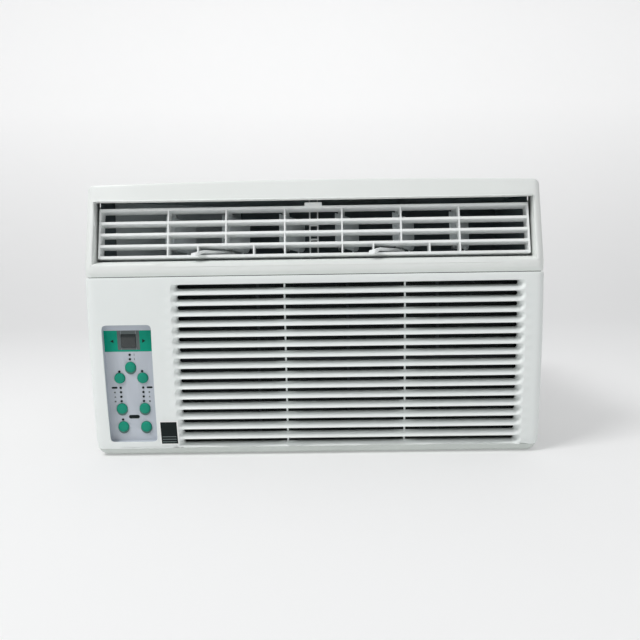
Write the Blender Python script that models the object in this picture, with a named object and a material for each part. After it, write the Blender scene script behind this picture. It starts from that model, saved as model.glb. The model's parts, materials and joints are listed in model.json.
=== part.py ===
"""Window air conditioner: a room-side front with louvres, vanes, grille door and keys,
and behind it the blower, the refrigeration circuit and the sheet-metal cabinet.

Metres, +Z up, +X to the right of someone facing the front, front towards -Y.
The origin is the bottom centre of the bounding box.
"""
from math import atan, cos, pi, radians, sin, sqrt, tan

import bmesh
import bpy
from mathutils import Vector

# ---------------------------------------------------------------- driving sizes
WIDTH = 0.600
DEPTH = 0.560
HALF_W = WIDTH / 2
FRONT_Y = -DEPTH / 2
REAR_Y = DEPTH / 2
GAP = 0.0003                    # clearance between pieces that touch

# front skin: leans back above the knee, curves under below it
KNEE_Z = 0.250
LEAN = radians(12.5)
UNDERCUT = 0.024                # how far the foot of the skin sits behind the knee
UNDERCUT_POWER = 1.9
SIDE_ROUND = 0.012              # radius of the upright front edges
SKIN = 0.003
FRONT_BACK_Y = -0.206           # rear edge of the front frame
FRONT_TOP_Z = 0.3685            # crown of the front frame's top edge
FRONT_CROWN = 0.004

# outlet
OUTLET_X = 0.289
OUTLET_Z = (0.2598, 0.3430)
TUNNEL_BACK_Y = -0.237
LEDGE_Z = 0.2446                # underside of the upper section

# intake panel
PANEL_Z = (0.013, 0.2430)
PANEL_BACK_Y = -0.2335
PANEL_SKIN = 0.0025
FOOT_TOP_Z = 0.0115             # top of the bottom bezel
SIDE_REST_Y = -0.232            # front edge of the frame's side walls behind the panel
ROWS = 16
ROW_PITCH = 0.01395
TOP_ROW_Z = 0.230
SLOT_HEIGHT = 0.0052
BAYS = ((-0.180, -0.041), (-0.037, 0.117), (0.121, 0.266))

# controls
RECESS_X = (-0.280, -0.214)
RECESS_Z = (0.020, 0.181)
RECESS_DEPTH = 0.010
BUTTON_R = 0.00715
BUTTON_RISE = 0.003
PLATE = 0.0025

# louvres and vanes, in the leaning plane of the outlet
LOUVRE_AXIS_Y = -0.2465
LOUVRE_AXIS_Z = 0.3001
LOUVRE_X = 0.285
LOUVRE_HALF_DEPTH = 0.009
BAR = 0.0035
BAR_W = (0.03100, 0.01310, -0.00260, -0.01820, -0.03350)
DIVIDERS = (0.038, 0.116, 0.193)
LOW_DIVIDERS = (0.038, 0.079, 0.153, 0.193)
VANE_DEPTH = 0.026              # vane pivots behind the louvre axis
VANE_TURN = radians(-40)        # rest position of the vanes, front edges to the left
VANE_FRONT = 0.013
VANE_REAR = 0.038
VANE_T = 0.0016
LINK_BACK = 0.025               # link pins behind the vane pivots
LINK_W = (-0.0265, -0.0212)

# cabinet
CABINET_X = 0.290
CABINET_Y = (-0.2054, 0.2738)
CABINET_TOP = 0.372
CABINET_CROWN = 0.010
CABINET_ROUND = 0.012
SHEET = 0.0015
PAN_X = 0.2879
PAN_HEIGHT = 0.018

# fans and their common shaft
SHAFT_X = 0.040
SHAFT_Z = 0.155
SHAFT_R = 0.006
WHEEL_R = 0.085
FAN_R = 0.128
MOTOR_R = 0.046

# compressor
COMP_X = -0.190
COMP_Y = 0.048
COMP_R = 0.058


# ---------------------------------------------------------------- helpers
def clear_scene():
    for item in list(bpy.data.objects):
        bpy.data.objects.remove(item, do_unlink=True)


def material(name, colour, roughness, metallic=0.0):
    mat = bpy.data.materials.new(name)
    mat.use_nodes = True
    shader = mat.node_tree.nodes["Principled BSDF"]
    shader.inputs["Base Color"].default_value = (*colour, 1.0)
    shader.inputs["Roughness"].default_value = roughness
    shader.inputs["Metallic"].default_value = metallic
    mat.diffuse_color = (*colour, 1.0)
    return mat


def finish(name, bm, mat, parent=None, smooth=False):
    """Turn a bmesh into a named object with its faces pointing out."""
    bmesh.ops.recalc_face_normals(bm, faces=bm.faces)
    mesh = bpy.data.meshes.new(name)
    bm.to_mesh(mesh)
    bm.free()
    item = bpy.data.objects.new(name, mesh)
    bpy.context.scene.collection.objects.link(item)
    if mat is not None:
        mesh.materials.append(mat)
    if smooth:
        mesh.shade_smooth()
        mesh.set_sharp_from_angle(angle=radians(35))
    item.parent = parent
    return item


def add_box(bm, low, high):
    size = [b - a for a, b in zip(low, high)]
    centre = Vector([(a + b) / 2 for a, b in zip(low, high)])
    made = bmesh.ops.create_cube(bm, size=1.0)
    for vert in made["verts"]:
        vert.co = Vector([c * s for c, s in zip(vert.co, size)]) + centre


def box(name, low, high, mat=None, parent=None):
    bm = bmesh.new()
    add_box(bm, low, high)
    return finish(name, bm, mat, parent)


def boxes(name, corners, mat=None, parent=None):
    """Several separate boxes in one mesh, used as a cutter."""
    bm = bmesh.new()
    for low, high in corners:
        add_box(bm, low, high)
    return finish(name, bm, mat, parent)


def on_plane(axis, a, b, along):
    """A point from its two in-plane coordinates and its place along the axis."""
    if axis == "X":
        return Vector((along, a, b))
    if axis == "Y":
        return Vector((a, along, b))
    return Vector((a, b, along))


def prism(name, outline, axis, start, end, mat=None, parent=None, smooth=False):
    """Extrude an outline, given in the plane across the axis, from start to end."""
    bm = bmesh.new()
    base = bm.faces.new([bm.verts.new(on_plane(axis, a, b, start)) for a, b in outline])
    extruded = bmesh.ops.extrude_face_region(bm, geom=[base])
    moved = [g for g in extruded["geom"] if isinstance(g, bmesh.types.BMVert)]
    bmesh.ops.translate(bm, verts=moved, vec=on_plane(axis, 0, 0, end - start))
    return finish(name, bm, mat, parent, smooth)


def lathe(name, profile, axis, centre, mat=None, parent=None, segments=32):
    """Turn a profile of (radius, height) points about an axis through the centre."""
    bm = bmesh.new()
    across = {"X": "Y", "Y": "X", "Z": "X"}[axis]
    out = Vector([float(letter == across) for letter in "XYZ"])
    up = Vector([float(letter == axis) for letter in "XYZ"])
    verts = [bm.verts.new(Vector(centre) + out * r + up * h) for r, h in profile]
    edges = [bm.edges.new(pair) for pair in zip(verts, verts[1:])]
    if profile[0][0] > 0:
        edges.append(bm.edges.new((verts[-1], verts[0])))
    bmesh.ops.spin(bm, geom=verts + edges, cent=centre, axis=up, angle=2 * pi, steps=segments,
                   use_merge=True)
    bmesh.ops.remove_doubles(bm, verts=bm.verts, dist=1e-6)
    return finish(name, bm, mat, parent, smooth=True)


def rod(name, radius, axis, centre, start, end, mat=None, parent=None, segments=16):
    """A plain round bar along an axis, from start to end measured from the centre."""
    profile = [(0, start), (radius, start), (radius, end), (0, end)]
    return lathe(name, profile, axis, centre, mat, parent, segments)


def ring(name, inner, outer, axis, centre, start, end, mat=None, parent=None, segments=32):
    profile = [(inner, start), (outer, start), (outer, end), (inner, end)]
    return lathe(name, profile, axis, centre, mat, parent, segments)


def modify(target, tool, operation):
    mod = target.modifiers.new(f"{operation.title()} {tool.name}", "BOOLEAN")
    mod.operation = operation
    mod.solver = "EXACT"
    mod.object = tool
    tool.hide_render = True
    tool.display_type = "WIRE"


def cut(target, *tools):
    for tool in tools:
        modify(target, tool, "DIFFERENCE")


def join(target, *tools):
    for tool in tools:
        modify(target, tool, "UNION")


def rounded(low, high, radius, steps=3):
    """A rectangle outline with round corners."""
    corners = ((high[0] - radius, high[1] - radius, 0), (low[0] + radius, high[1] - radius, 1),
               (low[0] + radius, low[1] + radius, 2), (high[0] - radius, low[1] + radius, 3))
    points = []
    for a, b, quarter in corners:
        for step in range(steps + 1):
            angle = (quarter + step / steps) * pi / 2
            points.append((a + radius * cos(angle), b + radius * sin(angle)))
    return points


def tube(name, route, radius, mat):
    """A bent pipe with filled ends, along a smooth curve through the route's points."""
    curve = bpy.data.curves.new(name, "CURVE")
    curve.dimensions = "3D"
    curve.bevel_depth = radius
    curve.bevel_resolution = 2
    curve.use_fill_caps = True
    points = smooth_route([Vector(p) for p in route])
    spline = curve.splines.new("POLY")
    spline.points.add(len(points) - 1)
    for place, point in zip(spline.points, points):
        place.co = (*point, 1.0)
    curve.materials.append(mat)
    item = bpy.data.objects.new(name, curve)
    bpy.context.scene.collection.objects.link(item)
    return item


def smooth_route(route, radius=0.014, steps=4):
    """Round each corner of a route with a quadratic bend that starts radius before it."""
    points = [route[0]]
    for before, corner, after in zip(route, route[1:], route[2:]):
        reach_in = min(radius, (corner - before).length * 0.48)
        reach_out = min(radius, (after - corner).length * 0.48)
        start = corner + (before - corner).normalized() * reach_in
        end = corner + (after - corner).normalized() * reach_out
        for step in range(steps + 1):
            t = step / steps
            points.append(start * (1 - t) ** 2 + corner * 2 * t * (1 - t) + end * t * t)
    points.append(route[-1])
    return points


def empty(name, place, turn_x=0.0, turn_z=0.0, parent=None):
    item = bpy.data.objects.new(name, None)
    bpy.context.scene.collection.objects.link(item)
    item.location = place
    item.rotation_euler = (turn_x, 0.0, turn_z)
    item.parent = parent
    return item


def hang(item, pivot):
    """Give an object modelled in world space its origin on the pivot, without moving it."""
    item.data.transform(pivot.matrix_world.inverted())
    item.parent = pivot


# ---------------------------------------------------------------- front skin
def side_fall(x):
    """How far the skin falls back near an upright front edge."""
    past = abs(x) - (HALF_W - SIDE_ROUND)
    if past <= 0:
        return 0.0
    return SIDE_ROUND - sqrt(max(SIDE_ROUND ** 2 - past ** 2, 0.0))


def front_y(x, z):
    """The front skin's Y at a place on the front."""
    if z > KNEE_Z:
        profile = FRONT_Y + (z - KNEE_Z) * tan(LEAN)
    else:
        profile = FRONT_Y + UNDERCUT * ((KNEE_Z - z) / KNEE_Z) ** UNDERCUT_POWER
    return profile + side_fall(x)


def top_z(x):
    return FRONT_TOP_Z - FRONT_CROWN * (x / HALF_W) ** 2 - side_fall(x) * 0.6


def stations(half, plain=7):
    """X stations across the front, closer together where the edges are round."""
    inner = half - SIDE_ROUND
    middle = [inner * (2 * i / plain - 1) for i in range(plain + 1)]
    edge = [inner + SIDE_ROUND * sin(radians(a)) for a in (35, 65, 90)]
    return [-x for x in reversed(edge)] + middle + edge


def skin_block(name, xs, levels, low_z, high_z, back_y, offset, mat=None):
    """A solid whose front follows the skin, moved in by offset, and whose back is flat."""
    bm = bmesh.new()
    front = []
    for x in xs:
        low = low_z
        high = high_z(x)
        column = []
        for level in levels:
            z = low + (high - low) * level
            column.append(bm.verts.new((x, front_y(x, z) + offset, z)))
        front.append(column)
    back_low = [bm.verts.new((x, back_y, low_z)) for x in (xs[0], xs[-1])]
    back_top = [bm.verts.new((x, back_y, high_z(x))) for x in xs]
    for left, right in zip(front, front[1:]):
        for k in range(len(levels) - 1):
            bm.faces.new((left[k], right[k], right[k + 1], left[k + 1]))
    for k in range(len(xs) - 1):
        bm.faces.new((front[k][-1], front[k + 1][-1], back_top[k + 1], back_top[k]))
    bm.faces.new([column[0] for column in front] + [back_low[1], back_low[0]])
    bm.faces.new(front[0] + [back_top[0], back_low[0]])
    bm.faces.new(front[-1] + [back_top[-1], back_low[1]])
    bm.faces.new([back_low[0], back_low[1]] + list(reversed(back_top)))
    return finish(name, bm, mat, smooth=True)


def build_front_frame(mat):
    levels = [0, 0.012, 0.03, 0.1, 0.22, 0.36, 0.52, 0.66, KNEE_Z / FRONT_TOP_Z, 0.97, 1]
    frame = skin_block("front_frame", stations(HALF_W), levels, 0.0, top_z, FRONT_BACK_Y, 0.0, mat)
    upper = skin_block("cutter_upper_hollow", stations(HALF_W - SKIN), (0, 1), LEDGE_Z + SKIN,
                       lambda x: top_z(x) - SKIN, FRONT_BACK_Y - SKIN, SKIN * 1.2)
    opening = box("cutter_intake_opening", (-0.31, -0.30, FOOT_TOP_Z), (0.31, SIDE_REST_Y, LEDGE_Z))
    lower = box("cutter_lower_hollow", (-HALF_W + SKIN, SIDE_REST_Y - 0.001, FOOT_TOP_Z),
                (HALF_W - SKIN, FRONT_BACK_Y - SKIN, LEDGE_Z))
    rear = box("cutter_rear_opening", (-0.2875, FRONT_BACK_Y - 0.004, FOOT_TOP_Z),
               (0.2875, FRONT_BACK_Y + 0.001, 0.3585))
    low_y = front_y(0, 0.249) + 0.0015
    high_y = front_y(0, 0.352) + 0.0015
    outline = [(low_y, 0.249), (high_y, 0.352), (TUNNEL_BACK_Y, 0.352), (TUNNEL_BACK_Y, 0.249)]
    tunnel = prism("tool_outlet_tunnel", outline, "X", -0.2925, 0.2925)
    outlet = prism("cutter_outlet", rounded((-OUTLET_X, OUTLET_Z[0]), (OUTLET_X, OUTLET_Z[1]), 0.005),
                   "Y", -0.300, -0.230)
    cut(frame, opening, lower, upper, rear)
    join(frame, tunnel)
    cut(frame, outlet)
    return frame


def build_intake_panel(mat, pivot):
    def top(x):
        return PANEL_Z[1]

    levels = [0, 0.03, 0.12, 0.25, 0.4, 0.56, 0.75, 1]
    panel = skin_block("intake_panel", stations(HALF_W), levels, PANEL_Z[0], top, PANEL_BACK_Y, 0.0, mat)
    hollow = skin_block("cutter_panel_hollow", stations(HALF_W - PANEL_SKIN), levels, PANEL_Z[0] - 0.004,
                        lambda x: PANEL_Z[1] - PANEL_SKIN, PANEL_BACK_Y + 0.004, PANEL_SKIN)
    window = prism("cutter_control_window",
                   rounded((RECESS_X[0], RECESS_Z[0]), (RECESS_X[1], RECESS_Z[1]), 0.004),
                   "Y", -0.300, -0.240)
    slots = []
    for row in range(ROWS):
        z = TOP_ROW_Z - ROW_PITCH * row
        for left, right in BAYS:
            slots.append(((left, -0.300, z - SLOT_HEIGHT / 2), (right, -0.240, z + SLOT_HEIGHT / 2)))
    rail_front = [(front_y(0, z) + PANEL_SKIN / 2, z) for z in (0.024, 0.070, 0.120, 0.180, 0.238)]
    rail = prism("tool_filter_rail", rail_front + [(-0.2345, 0.238), (-0.2345, 0.024)], "X", -0.2065, -0.2035)
    cut(panel, hollow, window)
    join(panel, rail)
    cut(panel, boxes("cutter_grille_slots", slots))
    hang(panel, pivot)
    return panel


# ---------------------------------------------------------------- controls
RECESS_TOP_Y = front_y(0, RECESS_Z[1]) + RECESS_DEPTH
RECESS_LOW_Y = front_y(0, RECESS_Z[0]) + RECESS_DEPTH
FASCIA_TILT = atan((RECESS_LOW_Y - RECESS_TOP_Y) / (RECESS_Z[1] - RECESS_Z[0]))
FASCIA_CENTRE = (sum(RECESS_X) / 2, (RECESS_TOP_Y + RECESS_LOW_Y) / 2, sum(RECESS_Z) / 2)
BUTTONS = (("button_top", -0.0005, 0.0225), ("button_upper_left", -0.0160, 0.0075),
           ("button_upper_right", 0.0150, 0.0075), ("button_middle_left", -0.0157, -0.0350),
           ("button_middle_right", 0.0153, -0.0350), ("button_lower_left", -0.0153, -0.0605),
           ("button_lower_right", 0.0157, -0.0608))
DISPLAY = ((-0.0106, 0.0493), (0.0089, 0.0673))


def build_controls(white, green, dark, board_green):
    """The fascia lies in a plane of its own: X right, Z up the slope, Y into the unit."""
    plane = empty("fascia_plane", FASCIA_CENTRE, turn_x=FASCIA_TILT)
    half = (RECESS_X[1] - RECESS_X[0]) / 2 + 0.003
    tall = (RECESS_Z[1] - RECESS_Z[0]) / 2 / cos(FASCIA_TILT) + 0.002
    fascia = box("control_fascia", (-half, -0.0060, -tall), (half, PLATE, tall), white, plane)
    tray = box("cutter_fascia_tray", (-half + 0.0025, -0.010, -tall + 0.0025),
               (half - 0.0025, 0, tall - 0.0025), parent=plane)
    hole = box("cutter_display_hole", (DISPLAY[0][0] - GAP, -0.002, DISPLAY[0][1] - GAP),
               (DISPLAY[1][0] + GAP, 0.006, DISPLAY[1][1] + GAP), parent=plane)
    cut(fascia, tray, hole)
    box("display_window", (DISPLAY[0][0], -0.0008, DISPLAY[0][1]),
        (DISPLAY[1][0], 0.0024, DISPLAY[1][1]), dark, plane)
    board = box("control_board", (-0.029, 0.0092, -0.070), (0.029, 0.0108, 0.076), board_green, plane)
    for name, x, z in BUTTONS:
        key = empty(f"axis_{name}", (x, 0, z), parent=plane)
        profile = [(0, -BUTTON_RISE), (BUTTON_R - 0.001, -BUTTON_RISE), (BUTTON_R, -BUTTON_RISE + 0.001),
                   (BUTTON_R, PLATE + 0.0008), (BUTTON_R + 0.0015, PLATE + 0.0008),
                   (BUTTON_R + 0.0015, PLATE + 0.0018), (0, PLATE + 0.0018)]
        lathe(name, profile, "Y", (0, 0, 0), green, key, segments=20)
        cut(fascia, rod(f"cutter_hole_{name}", BUTTON_R + 0.0004, "Y", (x, 0, z), -0.004, 0.006,
                        parent=plane, segments=20))
        join(board, box(f"tool_switch_{name}", (x - 0.003, 0.0062, z - 0.003),
                        (x + 0.003, 0.0096, z + 0.003), parent=plane))
    return fascia


def build_control_box(metal):
    slope = tan(FASCIA_TILT)
    low_z, high_z = 0.0190, 0.1840

    def face_y(z):
        return RECESS_TOP_Y + (RECESS_Z[1] - z) * slope + (PLATE + GAP) / cos(FASCIA_TILT)

    outline = [(face_y(low_z), low_z), (face_y(high_z), high_z), (-0.130, high_z), (-0.130, low_z)]
    shell = prism("control_box", outline, "X", -0.2835, -0.2105, metal)
    hollow = box("cutter_control_box", (-0.2815, -0.300, low_z + 0.002), (-0.2125, -0.132, high_z - 0.002))
    cut(shell, hollow)
    return shell


# ---------------------------------------------------------------- louvres and vanes
def build_louvres(mat, vane_mat):
    """Pieces in the outlet's leaning plane: X right, Z up the plane, Y into the unit."""
    plane = empty("louvre_axis", (0, LOUVRE_AXIS_Y, LOUVRE_AXIS_Z), turn_x=-LEAN)
    low, high = BAR_W[-1] - BAR / 2, BAR_W[0] + BAR / 2
    frame = box("louvre_frame", (-LOUVRE_X, -LOUVRE_HALF_DEPTH, low),
                (LOUVRE_X, LOUVRE_HALF_DEPTH, high), mat, plane)
    cells = []
    upper_walls = [-x for x in reversed(DIVIDERS)] + list(DIVIDERS)
    lower_walls = [-x for x in reversed(LOW_DIVIDERS)] + list(LOW_DIVIDERS)
    for index, (top, bottom) in enumerate(zip(BAR_W, BAR_W[1:])):
        walls = lower_walls if index == 3 else upper_walls
        edges = [-LOUVRE_X + 0.0015] + walls + [LOUVRE_X - 0.0015]
        for left, right in zip(edges, edges[1:]):
            cells.append(((left + 0.001, -0.012, bottom + BAR / 2), (right - 0.001, 0.012, top - BAR / 2)))
    cut(frame, boxes("cutter_louvre_cells", cells, parent=plane))
    for x in upper_walls:
        for name, w in (("top", BAR_W[0]), ("low", BAR_W[3])):
            ear = box(f"tool_ear_{name}_{x:+.3f}", (x - 0.0045, 0.008, w - 0.0012),
                      (x + 0.0045, VANE_DEPTH + 0.005, w + 0.0012), parent=plane)
            join(frame, ear)
            cut(frame, rod(f"cutter_ear_{name}_{x:+.3f}", 0.0021, "Z", (x, VANE_DEPTH, w), -0.004, 0.004,
                           parent=plane, segments=10))
    for side, label in ((-1, "left"), (1, "right")):
        for offset, place in zip(DIVIDERS, ("inner", "middle", "outer")):
            build_vane(f"vane_{label}_{place}", side * offset, plane, vane_mat)
        build_lever(f"lever_{label}", side * DIVIDERS[1], plane, mat)
        build_link(f"link_bar_{label}", side, plane, vane_mat)
    return frame


def build_vane(name, x, plane, mat):
    pivot = empty(f"axis_{name}", (x, VANE_DEPTH, 0), turn_z=VANE_TURN, parent=plane)
    low = BAR_W[3] + 0.0012 + GAP
    high = BAR_W[0] - 0.0012 - GAP
    corner = [(VANE_REAR - 0.009 + 0.009 * sin(a), low + 0.009 - 0.009 * cos(a))
              for a in (0, pi / 6, pi / 3, pi / 2)]
    outline = [(-VANE_FRONT, low)] + corner + [(VANE_REAR, high), (-VANE_FRONT, high)]
    vane = prism(name, outline, "X", -VANE_T / 2, VANE_T / 2, mat, pivot)
    join(vane, rod(f"tool_pin_{name}", 0.0016, "Z", (0, 0, 0), BAR_W[3] - 0.0021, BAR_W[0] + 0.0030,
                   parent=pivot, segments=10))
    join(vane, rod(f"tool_link_pin_{name}", 0.0013, "Z", (0, LINK_BACK, 0), LINK_W[0], low + 0.006,
                   parent=pivot, segments=10))


def build_lever(name, x, plane, mat):
    pivot = empty(f"axis_{name}", (x, VANE_DEPTH, 0), turn_z=VANE_TURN, parent=plane)
    outline = [(-0.0055, 0.006), (-0.0032, -0.026), (-0.0034, -0.045), (-0.0060, -0.0600), (-0.0045, -0.0632),
               (0.0045, -0.0632), (0.0060, -0.0600), (0.0034, -0.045), (0.0032, -0.026), (0.0055, 0.006)]
    lever = prism(name, outline, "Z", -0.0400, -0.0190, mat, pivot)
    droop = [(0.008, -0.0206), (-0.010, -0.0206), (-0.0475, -0.0262), (-0.0680, -0.0340),
             (-0.0680, -0.0402), (-0.0480, -0.0304), (-0.010, -0.0246), (0.008, -0.0246)]
    modify(lever, prism(f"tool_droop_{name}", droop, "X", -0.010, 0.010, None, pivot), "INTERSECT")
    return lever


def build_link(name, side, plane, mat):
    """The bar keeps parallel to the louvre frame, pinned behind the three vane pivots."""
    x = side * DIVIDERS[1] - LINK_BACK * sin(VANE_TURN)
    pivot = empty(f"axis_{name}", (x, VANE_DEPTH + LINK_BACK * cos(VANE_TURN), 0), parent=plane)
    reach = (DIVIDERS[2] - DIVIDERS[0]) / 2 + 0.005
    bar = box(name, (-reach, -0.0035, LINK_W[0]), (reach, 0.0035, LINK_W[1]), mat, pivot)
    for index, offset in enumerate(DIVIDERS):
        cut(bar, rod(f"cutter_{name}_{index}", 0.0019, "Z", (side * (offset - DIVIDERS[1]), 0, 0),
                     LINK_W[0] - 0.002, LINK_W[1] + 0.002, parent=pivot, segments=10))
    return bar


def build_centre_support(mat):
    ladder = box("centre_support", (-0.0064, -0.2200, 0.2513), (0.0064, -0.2160, 0.3487), mat)
    rungs = 5
    pitch = 0.0974 / rungs
    holes = []
    for index in range(rungs):
        low = 0.2513 + pitch * index + 0.0012
        holes.append(((-0.0044, -0.222, low), (0.0044, -0.214, low + pitch - 0.0024)))
    cut(ladder, boxes("cutter_support_holes", holes))
    return ladder


# ---------------------------------------------------------------- cabinet
def cabinet_outline(inset, low):
    """The cabinet's section: straight sides, round upper corners and a crowned top."""
    half = CABINET_X - inset
    top = CABINET_TOP - inset
    radius = CABINET_ROUND - inset * 0.5
    points = [(half, low)]
    shoulder = top - CABINET_CROWN
    for step in range(4):
        angle = step / 3 * pi / 2
        points.append((half - radius + radius * cos(angle), shoulder - radius + radius * sin(angle)))
    for step in range(1, 8):
        x = (half - radius) * (1 - step / 4)
        points.append((x, top - CABINET_CROWN * (x / (half - radius)) ** 2))
    for step in range(4):
        angle = (1 + step / 3) * pi / 2
        points.append((-half + radius + radius * cos(angle), shoulder - radius + radius * sin(angle)))
    points.append((-half, low))
    return points


def build_cabinet(mat, steel):
    shell = prism("cabinet_shell", cabinet_outline(0, 0.001), "Y", *CABINET_Y, mat, smooth=True)
    hollow = prism("cutter_cabinet_hollow", cabinet_outline(SHEET, -0.010), "Y",
                   CABINET_Y[0] - 0.01, CABINET_Y[1] + 0.01)
    vents = []
    for column in range(2):
        low_y = 0.060 + 0.094 * column
        for row in range(8):
            z = 0.120 + 0.022 * row
            vents.append(((-0.30, low_y, z), (0.30, low_y + 0.080, z + 0.007)))
    for column in range(3):
        x = -0.150 + 0.110 * column
        for row in range(5):
            y = 0.075 + 0.030 * row
            vents.append(((x, y, 0.352), (x + 0.080, y + 0.008, 0.380)))
    gland = rod("cutter_gland_hole", 0.0084, "X", (0, -0.190, 0.045), 0.280, 0.300)
    cut(shell, hollow, boxes("cutter_cabinet_vents", vents), gland)
    for label, side in (("left", -1), ("right", 1)):
        head = [(0, 0.2902), (0.0045, 0.2902), (0.0038, 0.2926), (0, 0.2930)]
        profile = [(r, side * h) for r, h in head]
        lathe(f"cabinet_screw_{label}", profile, "X", (0, 0.255, 0.060), steel, segments=12)
    return shell


def build_rear_guard(mat):
    guard = prism("rear_guard", cabinet_outline(0.0018, 0.001), "Y", CABINET_Y[1] + 0.0005, REAR_Y, mat)
    slots = []
    for column in range(3):
        left = -0.255 + 0.172 * column
        for row in range(13):
            low = 0.040 + 0.0235 * row
            slots.append(((left, 0.26, low), (left + 0.166, 0.29, low + 0.0175)))
    cut(guard, boxes("cutter_guard_slots", slots))
    return guard


def build_base_pan(mat):
    pan = box("base_pan", (-PAN_X, -0.2050, 0), (PAN_X, CABINET_Y[1] - 0.0005, PAN_HEIGHT), mat)
    hollow = box("cutter_pan_hollow", (-PAN_X + SHEET, -0.2035, SHEET), (PAN_X - SHEET, 0.2718, 0.03))
    cut(pan, hollow)
    return pan


def build_gland(mat):
    profile = [(0.0035, 0.2780), (0.0090, 0.2800), (0.0120, 0.2840), (0.0120, 0.2882), (0.0080, 0.2882),
               (0.0080, 0.2898), (0.0035, 0.2898)]
    return lathe("cord_gland", profile, "X", (0, -0.190, 0.045), mat, segments=16)


# ---------------------------------------------------------------- indoor side
def scroll(wall):
    """The blower scroll's outline: a growing arc from the tongue round to the upward throat."""
    points = [(SHAFT_X + 0.010 - wall, 0.2487)]
    for step in range(15):
        turn = step / 14
        angle = radians(85 + 275 * turn)
        radius = 0.092 + 0.030 * turn + wall
        points.append((SHAFT_X + radius * cos(angle), SHAFT_Z + radius * sin(angle)))
    points.append((SHAFT_X + 0.122 + wall, 0.2487))
    return points


def build_indoor_side(coil, foam, metal, plastic, steel, dark):
    evaporator = box("evaporator_coil", (-0.150, -0.212, 0.026), (0.262, -0.172, 0.2425), coil)
    plates = boxes("tool_evaporator_ends", (((-0.152, -0.214, 0.0255), (-0.149, -0.170, 0.2432)),
                                            ((0.261, -0.214, 0.0255), (0.264, -0.170, 0.2432))))
    join(evaporator, plates)
    pan = box("drain_pan", (-0.156, -0.218, 0.0190), (0.268, -0.1695, 0.0330), foam)
    cut(pan, box("cutter_drain_pan", (-0.1535, -0.2155, 0.0215), (0.2655, -0.1697 + 0.001, 0.040)))
    rod("room_thermistor", 0.0030, "Z", (-0.120, -0.2190, 0), 0.150, 0.185, steel, segments=12)
    mouth_y = TUNNEL_BACK_Y + 0.0004
    floor = box("air_duct_floor", (-0.2871, mouth_y, 0.2490), (0.2871, -0.0590, 0.2510), foam)
    cut(floor, box("cutter_duct_throat", (SHAFT_X + 0.012, -0.164, 0.240), (SHAFT_X + 0.120, -0.062, 0.255)))
    box("air_duct_lid", (-0.2871, mouth_y, 0.3490), (0.2871, -0.0590, 0.3520), foam)
    walls = box("air_duct_walls", (-0.2871, mouth_y, 0.2511), (0.2871, -0.0590, 0.3489), foam)
    cut(walls, box("cutter_duct_walls", (-0.2856, -0.250, 0.240), (0.2856, -0.062, 0.360)))
    housing = prism("blower_housing", scroll(0.002), "Y", -0.166, -0.059, plastic)
    inner = [(x, z + (0.01 if z > 0.2486 else 0)) for x, z in scroll(0)]
    cut(housing, prism("cutter_scroll", inner, "Y", -0.170, -0.061),
        rod("cutter_housing_shaft", 0.014, "Y", (SHAFT_X, 0, SHAFT_Z), -0.070, -0.050))
    inlet = prism("blower_inlet_ring", scroll(0.002), "Y", -0.1683, -0.1663, plastic)
    cut(inlet, rod("cutter_inlet", 0.066, "Y", (SHAFT_X, 0, SHAFT_Z), -0.18, -0.15, segments=32))
    capacitor = [(0, 0.0230), (0.018, 0.0230), (0.018, 0.098), (0.016, 0.100), (0, 0.100)]
    lathe("run_capacitor", capacitor, "Z", (-0.2485, -0.180, 0), steel, segments=20)
    wall = box("bulkhead", (-0.2855, -0.0585, 0.0018), (0.2855, -0.0565, 0.3555), metal)
    cut(wall, rod("cutter_bulkhead_shaft", 0.014, "Y", (SHAFT_X, 0, SHAFT_Z), -0.07, -0.05),
        rod("cutter_bulkhead_suction", 0.0075, "Y", (-0.185, 0, 0.220), -0.07, -0.05),
        rod("cutter_bulkhead_liquid", 0.0060, "Y", (-0.200, 0, 0.050), -0.07, -0.05))
    return evaporator


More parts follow.
